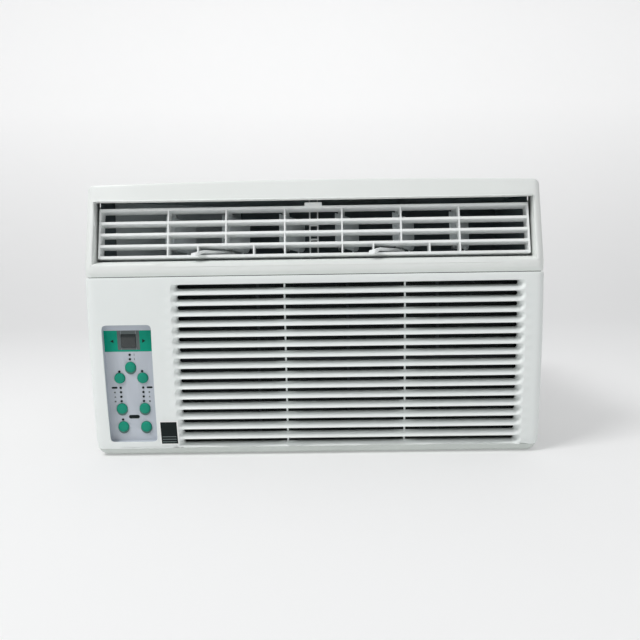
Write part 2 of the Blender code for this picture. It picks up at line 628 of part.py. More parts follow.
# ---------------------------------------------------------------- fans
def build_fans(plastic, steel, motor_grey, metal):
    centre = (SHAFT_X, 0, SHAFT_Z)
    shaft = empty("axis_fan_shaft", centre)
    rod("fan_shaft", SHAFT_R, "Y", (0, 0, 0), -0.152, 0.160, steel, shaft, segments=16)
    bore = SHAFT_R + GAP
    profile = [(bore, -0.072), (bore, -0.105), (0.014, -0.105), (0.016, -0.0745), (WHEEL_R - 0.012, -0.0745),
               (WHEEL_R - 0.012, -0.158), (WHEEL_R, -0.158), (WHEEL_R, -0.072)]
    wheel = lathe("blower_wheel", profile, "Y", (0, 0, 0), plastic, shaft, segments=40)
    bm = bmesh.new()
    gaps = 20
    for index in range(gaps):
        angle = 2 * pi * (index + 0.5) / gaps
        place = Vector((cos(angle), 0, sin(angle)))
        made = bmesh.ops.create_cube(bm, size=1.0)["verts"]
        for vert in made:
            radial = place * (WHEEL_R - 0.006 + vert.co.x * 0.022)
            side = Vector((-sin(angle), 0, cos(angle))) * vert.co.z * 0.0185
            vert.co = radial + side + Vector((0, -0.1145 + vert.co.y * 0.075, 0))
    cut(wheel, finish("cutter_wheel_gaps", bm, None, shaft))
    motor = [(bore, -0.050), (0.016, -0.050), (0.018, -0.042), (MOTOR_R - 0.006, -0.036), (MOTOR_R, -0.030),
             (MOTOR_R, 0.030), (MOTOR_R - 0.006, 0.036), (0.018, 0.042), (0.016, 0.050), (bore, 0.050)]
    lathe("fan_motor", motor, "Y", centre, motor_grey, segments=32)
    bracket = box("motor_bracket", (SHAFT_X - 0.050, -0.018, 0.0018), (SHAFT_X + 0.050, 0.018, 0.135), metal)
    cut(bracket, rod("cutter_bracket_seat", MOTOR_R + GAP, "Y", centre, -0.03, 0.03, segments=32),
        box("cutter_bracket_window", (SHAFT_X - 0.047, -0.03, 0.0048), (SHAFT_X + 0.047, 0.03, 0.098)))
    hub = [(bore, 0.122), (0.026, 0.122), (0.026, 0.152), (bore, 0.152)]
    fan = lathe("condenser_fan", hub, "Y", (0, 0, 0), plastic, shaft, segments=24)
    bm = bmesh.new()
    for index in range(5):
        add_fan_blade(bm, 2 * pi * index / 5)
    join(fan, finish("tool_blades", bm, None, shaft),
         ring("tool_slinger", FAN_R - 0.0030, FAN_R + 0.0010, "Y", (0, 0, 0), 0.134, 0.140, parent=shaft,
              segments=40))
    return shaft


def add_fan_blade(bm, start):
    """A twisted blade from the hub to the slinger ring: flatter towards its tip."""
    sections = []
    for step in range(4):
        share = step / 3
        radius = 0.0245 + (FAN_R - 0.0257) * share
        pitch = radians(48 - 20 * share)
        chord = 0.030 + 0.046 * share
        path = [(end, 0.5) for end in (-0.5, -0.17, 0.17, 0.5)] + [(end, -0.5) for end in (0.5, 0.17, -0.17, -0.5)]
        section = []
        for end, face in path:
            around = end * chord * cos(pitch) - face * 0.002 * sin(pitch)
            along = end * chord * sin(pitch) * 0.8 + face * 0.002 * cos(pitch)
            angle = start + 0.10 * share + around / radius
            section.append(bm.verts.new((radius * cos(angle), 0.137 + along, radius * sin(angle))))
        sections.append(section)
    for a, b in zip(sections, sections[1:]):
        for i in range(8):
            j = (i + 1) % 8
            bm.faces.new((a[i], a[j], b[j], b[i]))
    for section in (sections[0], sections[-1]):
        for i in range(3):
            bm.faces.new((section[i], section[i + 1], section[6 - i], section[7 - i]))


# ---------------------------------------------------------------- outdoor side
def build_outdoor_side(coil, metal, black, rubber, copper, dark):
    shroud = box("condenser_shroud", (-0.266, 0.150, 0.0195), (0.266, 0.2045, 0.352), metal)
    cut(shroud, box("cutter_shroud", (-0.264, 0.152, 0.0215), (0.264, 0.22, 0.350)),
        rod("cutter_orifice", FAN_R + 0.008, "Y", (SHAFT_X, 0, SHAFT_Z), 0.14, 0.16, segments=40))
    condenser = box("condenser_coil", (-0.260, 0.206, 0.0200), (0.260, 0.262, 0.350), coil)
    join(condenser, boxes("tool_condenser_ends", (((-0.262, 0.2049, 0.0195), (-0.259, 0.2635, 0.3505)),
                                                  ((0.259, 0.2049, 0.0195), (0.262, 0.2635, 0.3505)))))
    shell = [(0, 0.034), (0.030, 0.034), (COMP_R - 0.006, 0.040), (COMP_R, 0.052), (COMP_R, 0.200),
             (COMP_R - 0.008, 0.219), (0.034, 0.232), (0.012, 0.236), (0, 0.236)]
    body = lathe("compressor", shell, "Z", (COMP_X, COMP_Y, 0), black, segments=32)
    foot = [(COMP_X - 0.062, COMP_Y - 0.050), (COMP_X + 0.062, COMP_Y - 0.050),
            (COMP_X + 0.062, COMP_Y - 0.020), (COMP_X + 0.020, COMP_Y + 0.072),
            (COMP_X - 0.020, COMP_Y + 0.072), (COMP_X - 0.062, COMP_Y - 0.020)]
    join(body, prism("tool_compressor_foot", foot, "Z", 0.0290, 0.0360))
    feet = ((-0.052, -0.038), (0.052, -0.038), (0, 0.062))
    for index, (x, y) in enumerate(feet, 1):
        grommet = [(0.004, SHEET + GAP), (0.012, SHEET + GAP), (0.009, 0.012), (0.011, 0.0287), (0.004, 0.0287)]
        lathe(f"compressor_grommet_{index}", grommet, "Z", (COMP_X + x, COMP_Y + y, 0), rubber, segments=16)
    box("terminal_cover", (COMP_X - 0.019, COMP_Y + COMP_R + 0.0010, 0.130),
        (COMP_X + 0.019, COMP_Y + COMP_R + 0.016, 0.180), dark)
    tank = [(0, 0.070), (0.008, 0.070), (0.019, 0.082), (0.019, 0.178), (0.008, 0.190), (0, 0.190)]
    lathe("accumulator", tank, "Z", (-0.100, 0.062, 0), black, segments=20)
    tube("suction_tube", [(-0.1526, -0.192, 0.220), (-0.185, -0.192, 0.220), (-0.185, -0.030, 0.220),
                          (-0.150, -0.020, 0.262), (-0.100, 0.062, 0.262), (-0.100, 0.062, 0.1905)],
         0.0048, copper)
    tube("accumulator_outlet_tube", [(-0.100, 0.062, 0.0695), (-0.100, 0.062, 0.046), (-0.1313, 0.052, 0.046)],
         0.0048, copper)
    tube("discharge_tube", [(COMP_X, COMP_Y, 0.2365), (COMP_X, COMP_Y, 0.275), (-0.277, 0.090, 0.290),
                            (-0.277, 0.236, 0.290), (-0.2625, 0.236, 0.290)], 0.0040, copper)
    tube("liquid_tube", [(-0.2625, 0.236, 0.050), (-0.277, 0.236, 0.050), (-0.277, -0.035, 0.050),
                         (-0.200, -0.035, 0.050), (-0.200, -0.192, 0.050), (-0.1526, -0.192, 0.050)],
         0.0030, copper)
    drier = [(0.0036, 0.060), (0.0090, 0.068), (0.0090, 0.132), (0.0036, 0.140)]
    lathe("filter_drier", drier, "Y", (-0.277, 0, 0.050), copper, segments=16)
    return body


def build_filter(mat, pivot):
    frame = box("air_filter", (-0.2030, -0.2385, 0.0180), (0.2920, -0.2345, 0.2385), mat)
    holes = []
    across, up = 4, 2
    for i in range(across):
        for j in range(up):
            left = -0.197 + (0.483 + 0.004) / across * i
            low = 0.024 + (0.2085 + 0.004) / up * j
            holes.append(((left, -0.25, low), (left + 0.487 / across - 0.004, -0.22,
                                              low + 0.2125 / up - 0.004)))
    cut(frame, boxes("cutter_filter", holes))
    hang(frame, pivot)
    return frame


def main():
    clear_scene()
    white = material("case_white", (0.80, 0.80, 0.79), 0.45)
    grille = material("grille_white", (0.82, 0.82, 0.81), 0.45)
    vane_grey = material("vane_grey", (0.60, 0.62, 0.62), 0.50)
    fascia_grey = material("fascia_grey", (0.66, 0.66, 0.72), 0.45)
    green = material("key_green", (0.36, 0.62, 0.55), 0.40)
    display = material("display_dark", (0.03, 0.05, 0.04), 0.12)
    board = material("board_green", (0.05, 0.22, 0.10), 0.50)
    sheet = material("cabinet_grey", (0.72, 0.72, 0.70), 0.50)
    zinc = material("zinc_sheet", (0.62, 0.63, 0.65), 0.38, 1.0)
    foam = material("foam_black", (0.06, 0.06, 0.06), 0.90)
    fins = material("coil_aluminium", (0.75, 0.76, 0.78), 0.35, 1.0)
    copper = material("copper", (0.80, 0.42, 0.26), 0.30, 1.0)
    black = material("enamel_black", (0.02, 0.02, 0.02), 0.35)
    dark = material("dark_plastic", (0.05, 0.05, 0.055), 0.55)
    motor = material("motor_grey", (0.35, 0.36, 0.38), 0.40, 1.0)
    steel = material("shaft_steel", (0.60, 0.60, 0.62), 0.30, 1.0)
    rubber = material("rubber", (0.02, 0.02, 0.02), 0.85)
    net = material("filter_grey", (0.25, 0.27, 0.30), 0.80)

    build_front_frame(white)
    hinge = empty("intake_hinge", (0, front_y(0, 0.018) + 0.0035, 0.018))
    bpy.context.view_layer.update()
    build_intake_panel(grille, hinge)
    build_filter(net, hinge)
    build_controls(fascia_grey, green, display, board)
    build_control_box(zinc)
    build_louvres(grille, vane_grey)
    build_centre_support(white)
    build_cabinet(sheet, steel)
    build_rear_guard(sheet)
    build_base_pan(zinc)
    build_gland(dark)
    build_indoor_side(fins, foam, zinc, dark, steel, dark)
    build_fans(dark, steel, motor, zinc)
    build_outdoor_side(fins, zinc, black, rubber, copper, dark)


main()
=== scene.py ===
# %% [markdown]
# A window air conditioner, finished for a studio view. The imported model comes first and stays
# fixed: it holds the size, the pieces and the joints. Every piece made here rides on one of its
# bodies, so the louvres, vanes, grille door, keys and fans still move.

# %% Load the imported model
import json
from math import cos, floor, pi, radians, sin, sqrt, tan

import bmesh
import bpy
from mathutils import Matrix, Vector


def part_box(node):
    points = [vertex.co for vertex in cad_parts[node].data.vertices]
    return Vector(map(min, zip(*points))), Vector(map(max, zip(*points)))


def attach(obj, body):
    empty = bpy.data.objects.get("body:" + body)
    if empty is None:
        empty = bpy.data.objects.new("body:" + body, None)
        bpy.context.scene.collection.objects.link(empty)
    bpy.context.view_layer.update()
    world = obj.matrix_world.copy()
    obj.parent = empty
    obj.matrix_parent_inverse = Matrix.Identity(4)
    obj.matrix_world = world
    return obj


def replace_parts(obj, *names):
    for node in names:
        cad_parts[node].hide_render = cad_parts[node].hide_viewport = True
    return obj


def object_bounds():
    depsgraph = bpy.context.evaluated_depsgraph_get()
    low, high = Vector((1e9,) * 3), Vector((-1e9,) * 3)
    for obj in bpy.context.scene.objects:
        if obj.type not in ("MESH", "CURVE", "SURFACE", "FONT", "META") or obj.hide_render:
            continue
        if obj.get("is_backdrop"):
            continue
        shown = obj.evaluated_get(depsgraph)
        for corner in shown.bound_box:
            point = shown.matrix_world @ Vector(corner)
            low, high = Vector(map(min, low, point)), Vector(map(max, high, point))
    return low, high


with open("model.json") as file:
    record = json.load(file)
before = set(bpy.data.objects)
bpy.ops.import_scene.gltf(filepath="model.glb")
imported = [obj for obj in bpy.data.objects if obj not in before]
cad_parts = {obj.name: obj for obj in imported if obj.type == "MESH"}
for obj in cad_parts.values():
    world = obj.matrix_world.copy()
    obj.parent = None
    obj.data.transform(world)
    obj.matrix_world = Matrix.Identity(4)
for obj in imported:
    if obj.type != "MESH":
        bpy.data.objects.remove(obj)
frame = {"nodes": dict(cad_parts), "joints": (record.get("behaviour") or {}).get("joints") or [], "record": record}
nodes = frame["nodes"]
record = frame["record"]
cad_low, cad_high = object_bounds()
body_of_node = {n: body for body, names in record["behaviour"]["bodies"].items() for n in names}
slot_of_node = {part["node"]: part["material_slot"] for part in record["subparts"]}
MM = 0.001
print("pieces in the packed model:", len(nodes))

# %% [markdown]
# The front is one continuous skin: it leans back above a soft knee, tucks under towards the
# floor, and falls away in a small round at both sides. A short formula gives its depth at any
# place, so the surround, the door and the foot all meet without a step. Measuring a mesh
# instead would work too, but a formula stays smooth however finely it is sampled.

# %% The front skin as a formula
FRONT_Y = cad_low[1]
HALF_W = cad_high[0]
KNEE_Z = 250 * MM
KNEE_SOFT = 5 * MM
LEAN = radians(12.5)
UNDERCUT = 24 * MM
UNDERCUT_POWER = 1.9
SIDE_ROUND = 12 * MM
SIDE_ANGLES = (0, 22, 42, 60, 76, 90)
TOP_CENTRE_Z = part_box("front_frame")[1][2]
TOP_CROWN = 4 * MM
TOP_CORNER_DROP = 0.6


def side_fall(x):
    past = abs(x) - (HALF_W - SIDE_ROUND)
    if past <= 0:
        return 0.0
    return SIDE_ROUND - sqrt(max(SIDE_ROUND ** 2 - past ** 2, 0.0))


def skin_y(x, z):
    """Depth of the front skin; the small soft term rounds the knee."""
    above = z - KNEE_Z
    rise = (above + sqrt(above ** 2 + KNEE_SOFT ** 2)) / 2
    under = UNDERCUT * (max(-above, 0.0) / KNEE_Z) ** UNDERCUT_POWER
    return FRONT_Y + rise * tan(LEAN) + under + side_fall(x)


def top_z(x):
    return TOP_CENTRE_Z - TOP_CROWN * (x / HALF_W) ** 2 - side_fall(x) * TOP_CORNER_DROP


CORNER_Z = 24 * MM
CORNER_PULL = 0.022


def corner_x(x, z):
    """The lower corners are round: the sides draw in a little towards the floor."""
    return x * (1 - CORNER_PULL * max(1 - z / CORNER_Z, 0.0) ** 2)


def side_lines(half):
    """X places that follow the round at one side, from the flat to the very edge."""
    return [half - SIDE_ROUND + SIDE_ROUND * sin(radians(a)) for a in SIDE_ANGLES]


print("knee depth", round(skin_y(0, KNEE_Z), 4), "foot depth", round(skin_y(0, 0), 4))

# %% [markdown]
# Most pieces are built the same way: a bmesh is shaped by operators, made an object, given a
# finish, and hung on a body. These helpers do the last steps. Faces are turned outwards after
# doubles are merged, because a spin or a mirror can leave a shape inside out.

# %% Helpers that finish a piece
finishes = {}


def turn_out(bm):
    bmesh.ops.remove_doubles(bm, verts=bm.verts, dist=1e-6)
    bmesh.ops.recalc_face_normals(bm, faces=bm.faces)


def keep_inside(verts):
    """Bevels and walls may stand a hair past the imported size, so those corners are drawn back."""
    for vert in verts:
        vert.co = [min(max(c, low), high) for c, low, high in zip(vert.co, cad_low, cad_high)]


def new_object(name, data):
    made = bpy.data.objects.new(name, data)
    bpy.context.scene.collection.objects.link(made)
    return made


def to_piece(bm, name, finish, body, slot, sharp=32):
    mesh = bpy.data.meshes.new(name)
    keep_inside(bm.verts)
    bm.to_mesh(mesh)
    bm.free()
    piece = new_object(name, mesh)
    mesh.materials.append(finishes[finish])
    mesh.shade_smooth()
    mesh.set_sharp_from_angle(angle=radians(sharp))
    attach(piece, body)
    return piece


def settle(piece):
    """Replace a piece's mesh by what its modifiers make of it."""
    depsgraph = bpy.context.evaluated_depsgraph_get()
    mesh = bpy.data.meshes.new_from_object(piece.evaluated_get(depsgraph))
    keep_inside(mesh.vertices)
    piece.modifiers.clear()
    old = piece.data
    piece.data = mesh
    bpy.data.meshes.remove(old)


def round_edges(bm, edges, offset, segments=2, **more):
    return bmesh.ops.bevel(bm, geom=edges, offset=offset, segments=segments, profile=0.5,
                           affect="EDGES", material=-1, **more)


def thicken(bm, faces, move):
    """Extrude faces and move the new corners, so that a flat shape becomes a solid."""
    made = bmesh.ops.extrude_face_region(bm, geom=faces)["geom"]
    bmesh.ops.translate(bm, vec=move, verts=[g for g in made if isinstance(g, bmesh.types.BMVert)])


def stand(bm, verts, turn, place):
    """Turn a shape about the origin, then move it to its place."""
    bmesh.ops.rotate(bm, cent=(0, 0, 0), matrix=turn, verts=verts)
    bmesh.ops.translate(bm, vec=place, verts=verts)


def add_block(bm, low, high, bevel=0.0):
    """A box between two corners, with rounded edges where a bevel is given."""
    size = Vector(high) - Vector(low)
    centre = (Vector(high) + Vector(low)) / 2
    made = bmesh.ops.create_cube(bm, size=1.0)["verts"]
    bmesh.ops.scale(bm, vec=size, verts=made)
    if bevel:
        edges = list({e for v in made for e in v.link_edges})
        result = round_edges(bm, edges, bevel)
        made = list({v for f in result["faces"] for v in f.verts} | {v for v in made if v.is_valid})
    bmesh.ops.translate(bm, vec=centre, verts=made)
    return made


def sharp_edges(bm, angle):
    return [e for e in bm.edges
            if len(e.link_faces) == 2 and e.calc_face_angle(0) > radians(angle)]


def carve(piece, tool_bm):
    """Cut a tool shape out of a piece, at once."""
    mesh = bpy.data.meshes.new("tool")
    tool_bm.to_mesh(mesh)
    tool_bm.free()
    tool = new_object("tool", mesh)
    modifier = piece.modifiers.new("carve", "BOOLEAN")
    modifier.operation = "DIFFERENCE"
    modifier.object = tool
    settle(piece)
    bpy.data.objects.remove(tool, do_unlink=True)
    bpy.data.meshes.remove(mesh)


# %% [markdown]
# Moulded plastic is never one flat colour. It has a fine spark-eroded grain, broad and very
# faint shifts of tone, and a roughness that wanders with them. One node group makes all three
# from Object coordinates, and each material gives it its own colours and scales.

# %% The grain group, shared by every moulded or painted finish
BROAD_SCALE, FINE_SCALE = 7.0, 900.0


def new_group(name, inputs):
    """A node group with its own inputs, and the same three outputs each time."""
    group = bpy.data.node_groups.new(name, "ShaderNodeTree")
    for label, kind, value in inputs:
        socket = group.interface.new_socket(label, in_out="INPUT", socket_type=kind)
        socket.default_value = value
    for label, kind in (("Colour", "Color"), ("Roughness", "Float"), ("Height", "Float")):
        group.interface.new_socket(label, in_out="OUTPUT", socket_type=f"NodeSocket{kind}")
    source = group.nodes.new("NodeGroupInput")
    sink = group.nodes.new("NodeGroupOutput")
    return group, source, sink


def noise(group, scale, detail, vector):
    node = group.nodes.new("ShaderNodeTexNoise")
    node.inputs["Scale"].default_value = scale
    node.inputs["Detail"].default_value = detail
    group.links.new(vector, node.inputs["Vector"])
    return node


def set_or_link(group, value, socket):
    """Link another node's output, or set a plain number or colour."""
    if hasattr(value, "is_output"):
        group.links.new(value, socket)
    elif socket.type == "RGBA":
        socket.default_value = (*value, 1.0)
    else:
        socket.default_value = value


def mapped(group, socket, low, high, out_low, out_high):
    node = group.nodes.new("ShaderNodeMapRange")
    node.inputs["From Min"].default_value = low
    node.inputs["From Max"].default_value = high
    set_or_link(group, out_low, node.inputs["To Min"])
    set_or_link(group, out_high, node.inputs["To Max"])
    group.links.new(socket, node.inputs["Value"])
    return node.outputs["Result"]


def colour_mix(group, factor, a, b):
    node = group.nodes.new("ShaderNodeMix")
    node.data_type = "RGBA"
    group.links.new(factor, node.inputs["Factor"])
    for label, value in (("A", a), ("B", b)):
        set_or_link(group, value, [s for s in node.inputs if s.name == label and s.type == "RGBA"][0])
    return [s for s in node.outputs if s.type == "RGBA"][0]


def make_grain_group():
    group, source, sink = new_group(
        "moulded_grain",
        [("Colour", "NodeSocketColor", (0.8, 0.8, 0.8, 1)),
         ("Shade", "NodeSocketColor", (0.7, 0.7, 0.7, 1)),
         ("Smooth", "NodeSocketFloat", 0.40), ("Rough", "NodeSocketFloat", 0.55)])
    coords = group.nodes.new("ShaderNodeTexCoord").outputs["Object"]
    broad = noise(group, BROAD_SCALE, 4.0, coords)
    fine = noise(group, FINE_SCALE, 2.0, coords)
    tone = mapped(group, broad.outputs["Fac"], 0.35, 0.70, 0.0, 1.0)
    group.links.new(colour_mix(group, tone, source.outputs["Colour"], source.outputs["Shade"]),
                    sink.inputs["Colour"])
    group.links.new(mapped(group, broad.outputs["Fac"], 0.3, 0.7, source.outputs["Smooth"],
                           source.outputs["Rough"]), sink.inputs["Roughness"])
    group.links.new(fine.outputs["Fac"], sink.inputs["Height"])
    return group


grain_group = make_grain_group()


def principled(name):
    material = bpy.data.materials.new(name)
    material.use_nodes = True
    tree = material.node_tree
    return material, tree, tree.nodes["Principled BSDF"]


def add_bump(tree, height, shader, strength, distance):
    bump = tree.nodes.new("ShaderNodeBump")
    bump.inputs["Strength"].default_value = strength
    bump.inputs["Distance"].default_value = distance
    tree.links.new(height, bump.inputs["Height"])
    tree.links.new(bump.outputs["Normal"], shader.inputs["Normal"])


def finish_with(pattern, name, strength, distance, **values):
    """A material whose colour, roughness and bump come from a group given its own values."""
    material, tree, shader = principled(name)
    group = tree.nodes.new("ShaderNodeGroup")
    group.node_tree = pattern
    for label, value in values.items():
        set_or_link(tree, value, group.inputs[label])
    tree.links.new(group.outputs["Colour"], shader.inputs["Base Color"])
    tree.links.new(group.outputs["Roughness"], shader.inputs["Roughness"])
    add_bump(tree, group.outputs["Height"], shader, strength, distance)
    finishes[name] = material
    return shader


def moulded(name, colour, shade, smooth, rough, grain, metallic=0.0, coat=0.0, shine=0.5):
    shader = finish_with(grain_group, name, grain, 0.1 * MM, Colour=colour, Shade=shade,
                         Smooth=smooth, Rough=rough)
    shader.inputs["Metallic"].default_value = metallic
    shader.inputs["Coat Weight"].default_value = coat
    shader.inputs["Specular IOR Level"].default_value = shine


print("grain group with", len(grain_group.nodes), "nodes")

# %% [markdown]
# Sheet steel and tube need a direction: rolling and drawing leave fine streaks. Stretching the
# noise along one axis gives them, and a little cell pattern gives galvanised sheet its spangle.

# %% Metal finishes
STREAK_STRETCH = (40.0, 6.0, 40.0)
SPANGLE_SCALE = 95.0


def make_metal_group():
    group, source, sink = new_group(
        "drawn_metal",
        [("Colour", "NodeSocketColor", (0.6, 0.6, 0.6, 1)),
         ("Shade", "NodeSocketColor", (0.4, 0.4, 0.4, 1)),
         ("Spangle", "NodeSocketFloat", 0.0), ("Rough", "NodeSocketFloat", 0.35)])
    coords = group.nodes.new("ShaderNodeTexCoord").outputs["Object"]
    stretch = group.nodes.new("ShaderNodeMapping")
    stretch.inputs["Scale"].default_value = STREAK_STRETCH
    group.links.new(coords, stretch.inputs["Vector"])
    streak = noise(group, 9.0, 3.0, stretch.outputs["Vector"])
    cells = group.nodes.new("ShaderNodeTexVoronoi")
    cells.inputs["Scale"].default_value = SPANGLE_SCALE
    group.links.new(coords, cells.inputs["Vector"])
    flake = mapped(group, cells.outputs["Distance"], 0.0, 0.8, 0.0, source.outputs["Spangle"])
    blend = group.nodes.new("ShaderNodeMath")
    blend.operation = "ADD"
    group.links.new(flake, blend.inputs[0])
    group.links.new(mapped(group, streak.outputs["Fac"], 0.3, 0.7, 0.0, 0.6), blend.inputs[1])
    group.links.new(colour_mix(group, blend.outputs["Value"], source.outputs["Colour"],
                               source.outputs["Shade"]), sink.inputs["Colour"])
    rough = group.nodes.new("ShaderNodeMath")
    rough.operation = "MULTIPLY_ADD"
    group.links.new(blend.outputs["Value"], rough.inputs[0])
    rough.inputs[1].default_value = 0.15
    group.links.new(source.outputs["Rough"], rough.inputs[2])
    group.links.new(rough.outputs["Value"], sink.inputs["Roughness"])
    group.links.new(streak.outputs["Fac"], sink.inputs["Height"])
    return group


metal_group = make_metal_group()


def metal(name, colour, shade, spangle, rough):
    shader = finish_with(metal_group, name, 0.15, 0.2 * MM, Colour=colour, Shade=shade,
                         Spangle=spangle, Rough=rough)
    shader.inputs["Metallic"].default_value = 1.0


print("metal group with", len(metal_group.nodes), "nodes")


# %% [markdown]
# The list of finishes follows the real object: whites for the casing, the grille door and the
# louvres that differ a little, as separate mouldings do, and a darker white for the foot, which is
# painted shade for its curl under towards the floor. The vanes are a cool grey, the control plate a
# lilac grey and the keys green, with a grey-green painted shadow below five of them.
# Behind them are foam, fins, copper, enamel and galvanised sheet.

# %% Every finish by name
moulded("case_white", (0.87, 0.895, 0.875), (0.84, 0.865, 0.84), 0.34, 0.46, 0.30)
# the foot's white is darker than the casing's: painted shade for its curl under towards the floor
moulded("foot_shaded_white", (0.66, 0.70, 0.67), (0.60, 0.64, 0.61), 0.36, 0.48, 0.30)
moulded("grille_white", (0.88, 0.915, 0.90), (0.85, 0.885, 0.87), 0.30, 0.42, 0.22)
moulded("louvre_white", (0.95, 0.975, 0.97), (0.925, 0.95, 0.94), 0.28, 0.38, 0.20)
moulded("vane_grey", (0.80, 0.85, 0.86), (0.74, 0.79, 0.80), 0.42, 0.55, 0.25)
moulded("fascia_grey", (0.56, 0.60, 0.66), (0.53, 0.57, 0.63), 0.35, 0.45, 0.18)
moulded("band_green", (0.002, 0.36, 0.24), (0.002, 0.32, 0.21), 0.40, 0.50, 0.10, shine=0.15)
moulded("key_green", (0.008, 0.32, 0.21), (0.006, 0.28, 0.185), 0.36, 0.46, 0.20, shine=0.25)
# a grey-green painted shadow that shows below the keys
moulded("key_painted_shadow", (0.13, 0.23, 0.21), (0.11, 0.20, 0.185), 0.45, 0.55, 0.12, shine=0.25)
moulded("plate_grey", (0.12, 0.15, 0.15), (0.10, 0.125, 0.125), 0.35, 0.45, 0.12)
moulded("ink_black", (0.006, 0.012, 0.012), (0.010, 0.016, 0.016), 0.40, 0.50, 0.05, shine=0.15)
moulded("label_white", (0.95, 0.96, 0.94), (0.92, 0.93, 0.91), 0.40, 0.50, 0.05)
moulded("display_dark", (0.012, 0.018, 0.018), (0.020, 0.028, 0.028), 0.12, 0.20, 0.03, coat=0.4)
moulded("board_green", (0.03, 0.16, 0.07), (0.02, 0.12, 0.05), 0.35, 0.50, 0.20)
moulded("cabinet_grey", (0.66, 0.67, 0.65), (0.61, 0.62, 0.60), 0.42, 0.55, 0.35)
moulded("duct_foam", (0.46, 0.53, 0.54), (0.40, 0.46, 0.47), 0.80, 0.95, 0.80)
moulded("duct_shade", (0.16, 0.20, 0.21), (0.12, 0.15, 0.16), 0.80, 0.95, 0.80)
moulded("foam_black", (0.035, 0.037, 0.038), (0.022, 0.023, 0.024), 0.80, 0.95, 0.90)
moulded("enamel_black", (0.016, 0.016, 0.017), (0.024, 0.024, 0.025), 0.22, 0.40, 0.15, coat=0.3)
moulded("dark_plastic", (0.030, 0.031, 0.033), (0.042, 0.043, 0.045), 0.45, 0.60, 0.35)
moulded("motor_grey", (0.26, 0.27, 0.28), (0.21, 0.22, 0.23), 0.35, 0.50, 0.25, metallic=0.6)
moulded("rubber", (0.018, 0.018, 0.018), (0.028, 0.028, 0.027), 0.75, 0.90, 0.60)
moulded("filter_grey", (0.05, 0.055, 0.06), (0.035, 0.04, 0.045), 0.60, 0.75, 0.40)
metal("zinc_sheet", (0.60, 0.61, 0.62), (0.44, 0.45, 0.47), 0.35, 0.34)
metal("shaft_steel", (0.58, 0.58, 0.59), (0.42, 0.42, 0.43), 0.0, 0.24)
metal("coil_aluminium", (0.72, 0.73, 0.74), (0.52, 0.53, 0.55), 0.0, 0.30)
metal("copper", (0.78, 0.36, 0.20), (0.50, 0.20, 0.11), 0.0, 0.26)
print("finishes:", len(finishes))

# %% [markdown]
# The front surround is one moulding. A grid whose lines stand exactly on the edges of the
# outlet is laid on the skin formula; the faces inside the outlet are deleted, and the open
# edges are pulled inwards for the tunnel and backwards for the casing's sides. Because the
# lines already follow the edges, the bevels that round them stay clean, which a Boolean cut
# through a curved grid would not give.

# %% Grids laid on the skin
def skin_grid(bm, xs, zs, place):
    """A grid with its lines at the given X and Z places, each corner moved to place(x, z)."""
    made = bmesh.ops.create_grid(bm, x_segments=len(xs) - 1, y_segments=len(zs) - 1, size=0.5)
    for vert in made["verts"]:
        x = xs[round((vert.co.x + 0.5) * (len(xs) - 1))]
        z = zs[round((vert.co.y + 0.5) * (len(zs) - 1))]
        vert.co = place(x, z)
    return made["verts"]


def spread(start, end, count):
    return [start + (end - start) * i / count for i in range(count + 1)]


def pull_edges(bm, edges, move):
    """Extrude open edges and move each new corner to move(its place)."""
    result = bmesh.ops.extrude_edge_only(bm, edges=edges)
    for vert in [g for g in result["geom"] if isinstance(g, bmesh.types.BMVert)]:
        vert.co = move(vert.co)
    return [g for g in result["geom"] if isinstance(g, bmesh.types.BMEdge)]


def open_edges(bm, test):
    return [e for e in bm.edges if e.is_boundary and all(test(v.co) for v in e.verts)]


BACK_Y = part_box("front_frame")[1][1]
OUTLET_X = 289 * MM
OUTLET_LOW = 259.8 * MM
OUTLET_HIGH = 343.0 * MM
TUNNEL_Y = -237 * MM
LEDGE_Z = 244.6 * MM
LIP_Z = 257 * MM
LIP_CURL = 4.0 * MM
SILL_Y = -262 * MM
SILL_Z = 263.2 * MM
SILL_DRAFT = 0.9965
CROWN_FROM = 345 * MM
NEAR = 0.5 * MM
CORNER = 1.6 * MM
SURROUND_WALL = 2.4 * MM


def make_surround():
    bm = bmesh.new()
    side = side_lines(HALF_W)
    xs = [-x for x in side] + spread(-OUTLET_X + NEAR, OUTLET_X - NEAR, 12)[1:-1] + side
    xs = sorted(set(xs) - {side[0], -side[0]} | {OUTLET_X, -OUTLET_X})
    zs = [LEDGE_Z] + spread(245.6 * MM, 258.5 * MM, 8) + [OUTLET_LOW, 285 * MM, 312 * MM, OUTLET_HIGH]
    zs += spread(CROWN_FROM, TOP_CENTRE_Z, 5)

    def place(x, z):
        if z > CROWN_FROM:
            share = (z - CROWN_FROM) / (TOP_CENTRE_Z - CROWN_FROM)
            z = CROWN_FROM + (top_z(x) - CROWN_FROM) * share
        under = LIP_CURL * (max(LIP_Z - z, 0.0) / (LIP_Z - LEDGE_Z)) ** 1.6
        return Vector((x, skin_y(x, z) + under, z))

    skin_grid(bm, xs, zs, place)
    inside = [f for f in bm.faces if abs(f.calc_center_median().x) < OUTLET_X
              and OUTLET_LOW < f.calc_center_median().z < OUTLET_HIGH]
    bmesh.ops.delete(bm, geom=inside, context="FACES")
    hole = open_edges(bm, lambda c: abs(c.x) < OUTLET_X + NEAR
                      and OUTLET_LOW - NEAR < c.z < OUTLET_HIGH + NEAR)
    outer = [e for e in bm.edges if e.is_boundary and e not in hole]
    pull_edges(bm, outer, lambda c: Vector((c.x, BACK_Y, c.z)))

    def to_sill(c):
        low = c.z < OUTLET_LOW + NEAR
        return Vector((c.x * SILL_DRAFT, SILL_Y, SILL_Z if low else c.z - 0.4 * MM))

    sill = pull_edges(bm, hole, to_sill)
    pull_edges(bm, sill, lambda c: Vector((c.x, TUNNEL_Y, c.z)))
    round_edges(bm, [e for e in hole + outer if e.is_valid], CORNER, 3)
    turn_out(bm)
    return bm


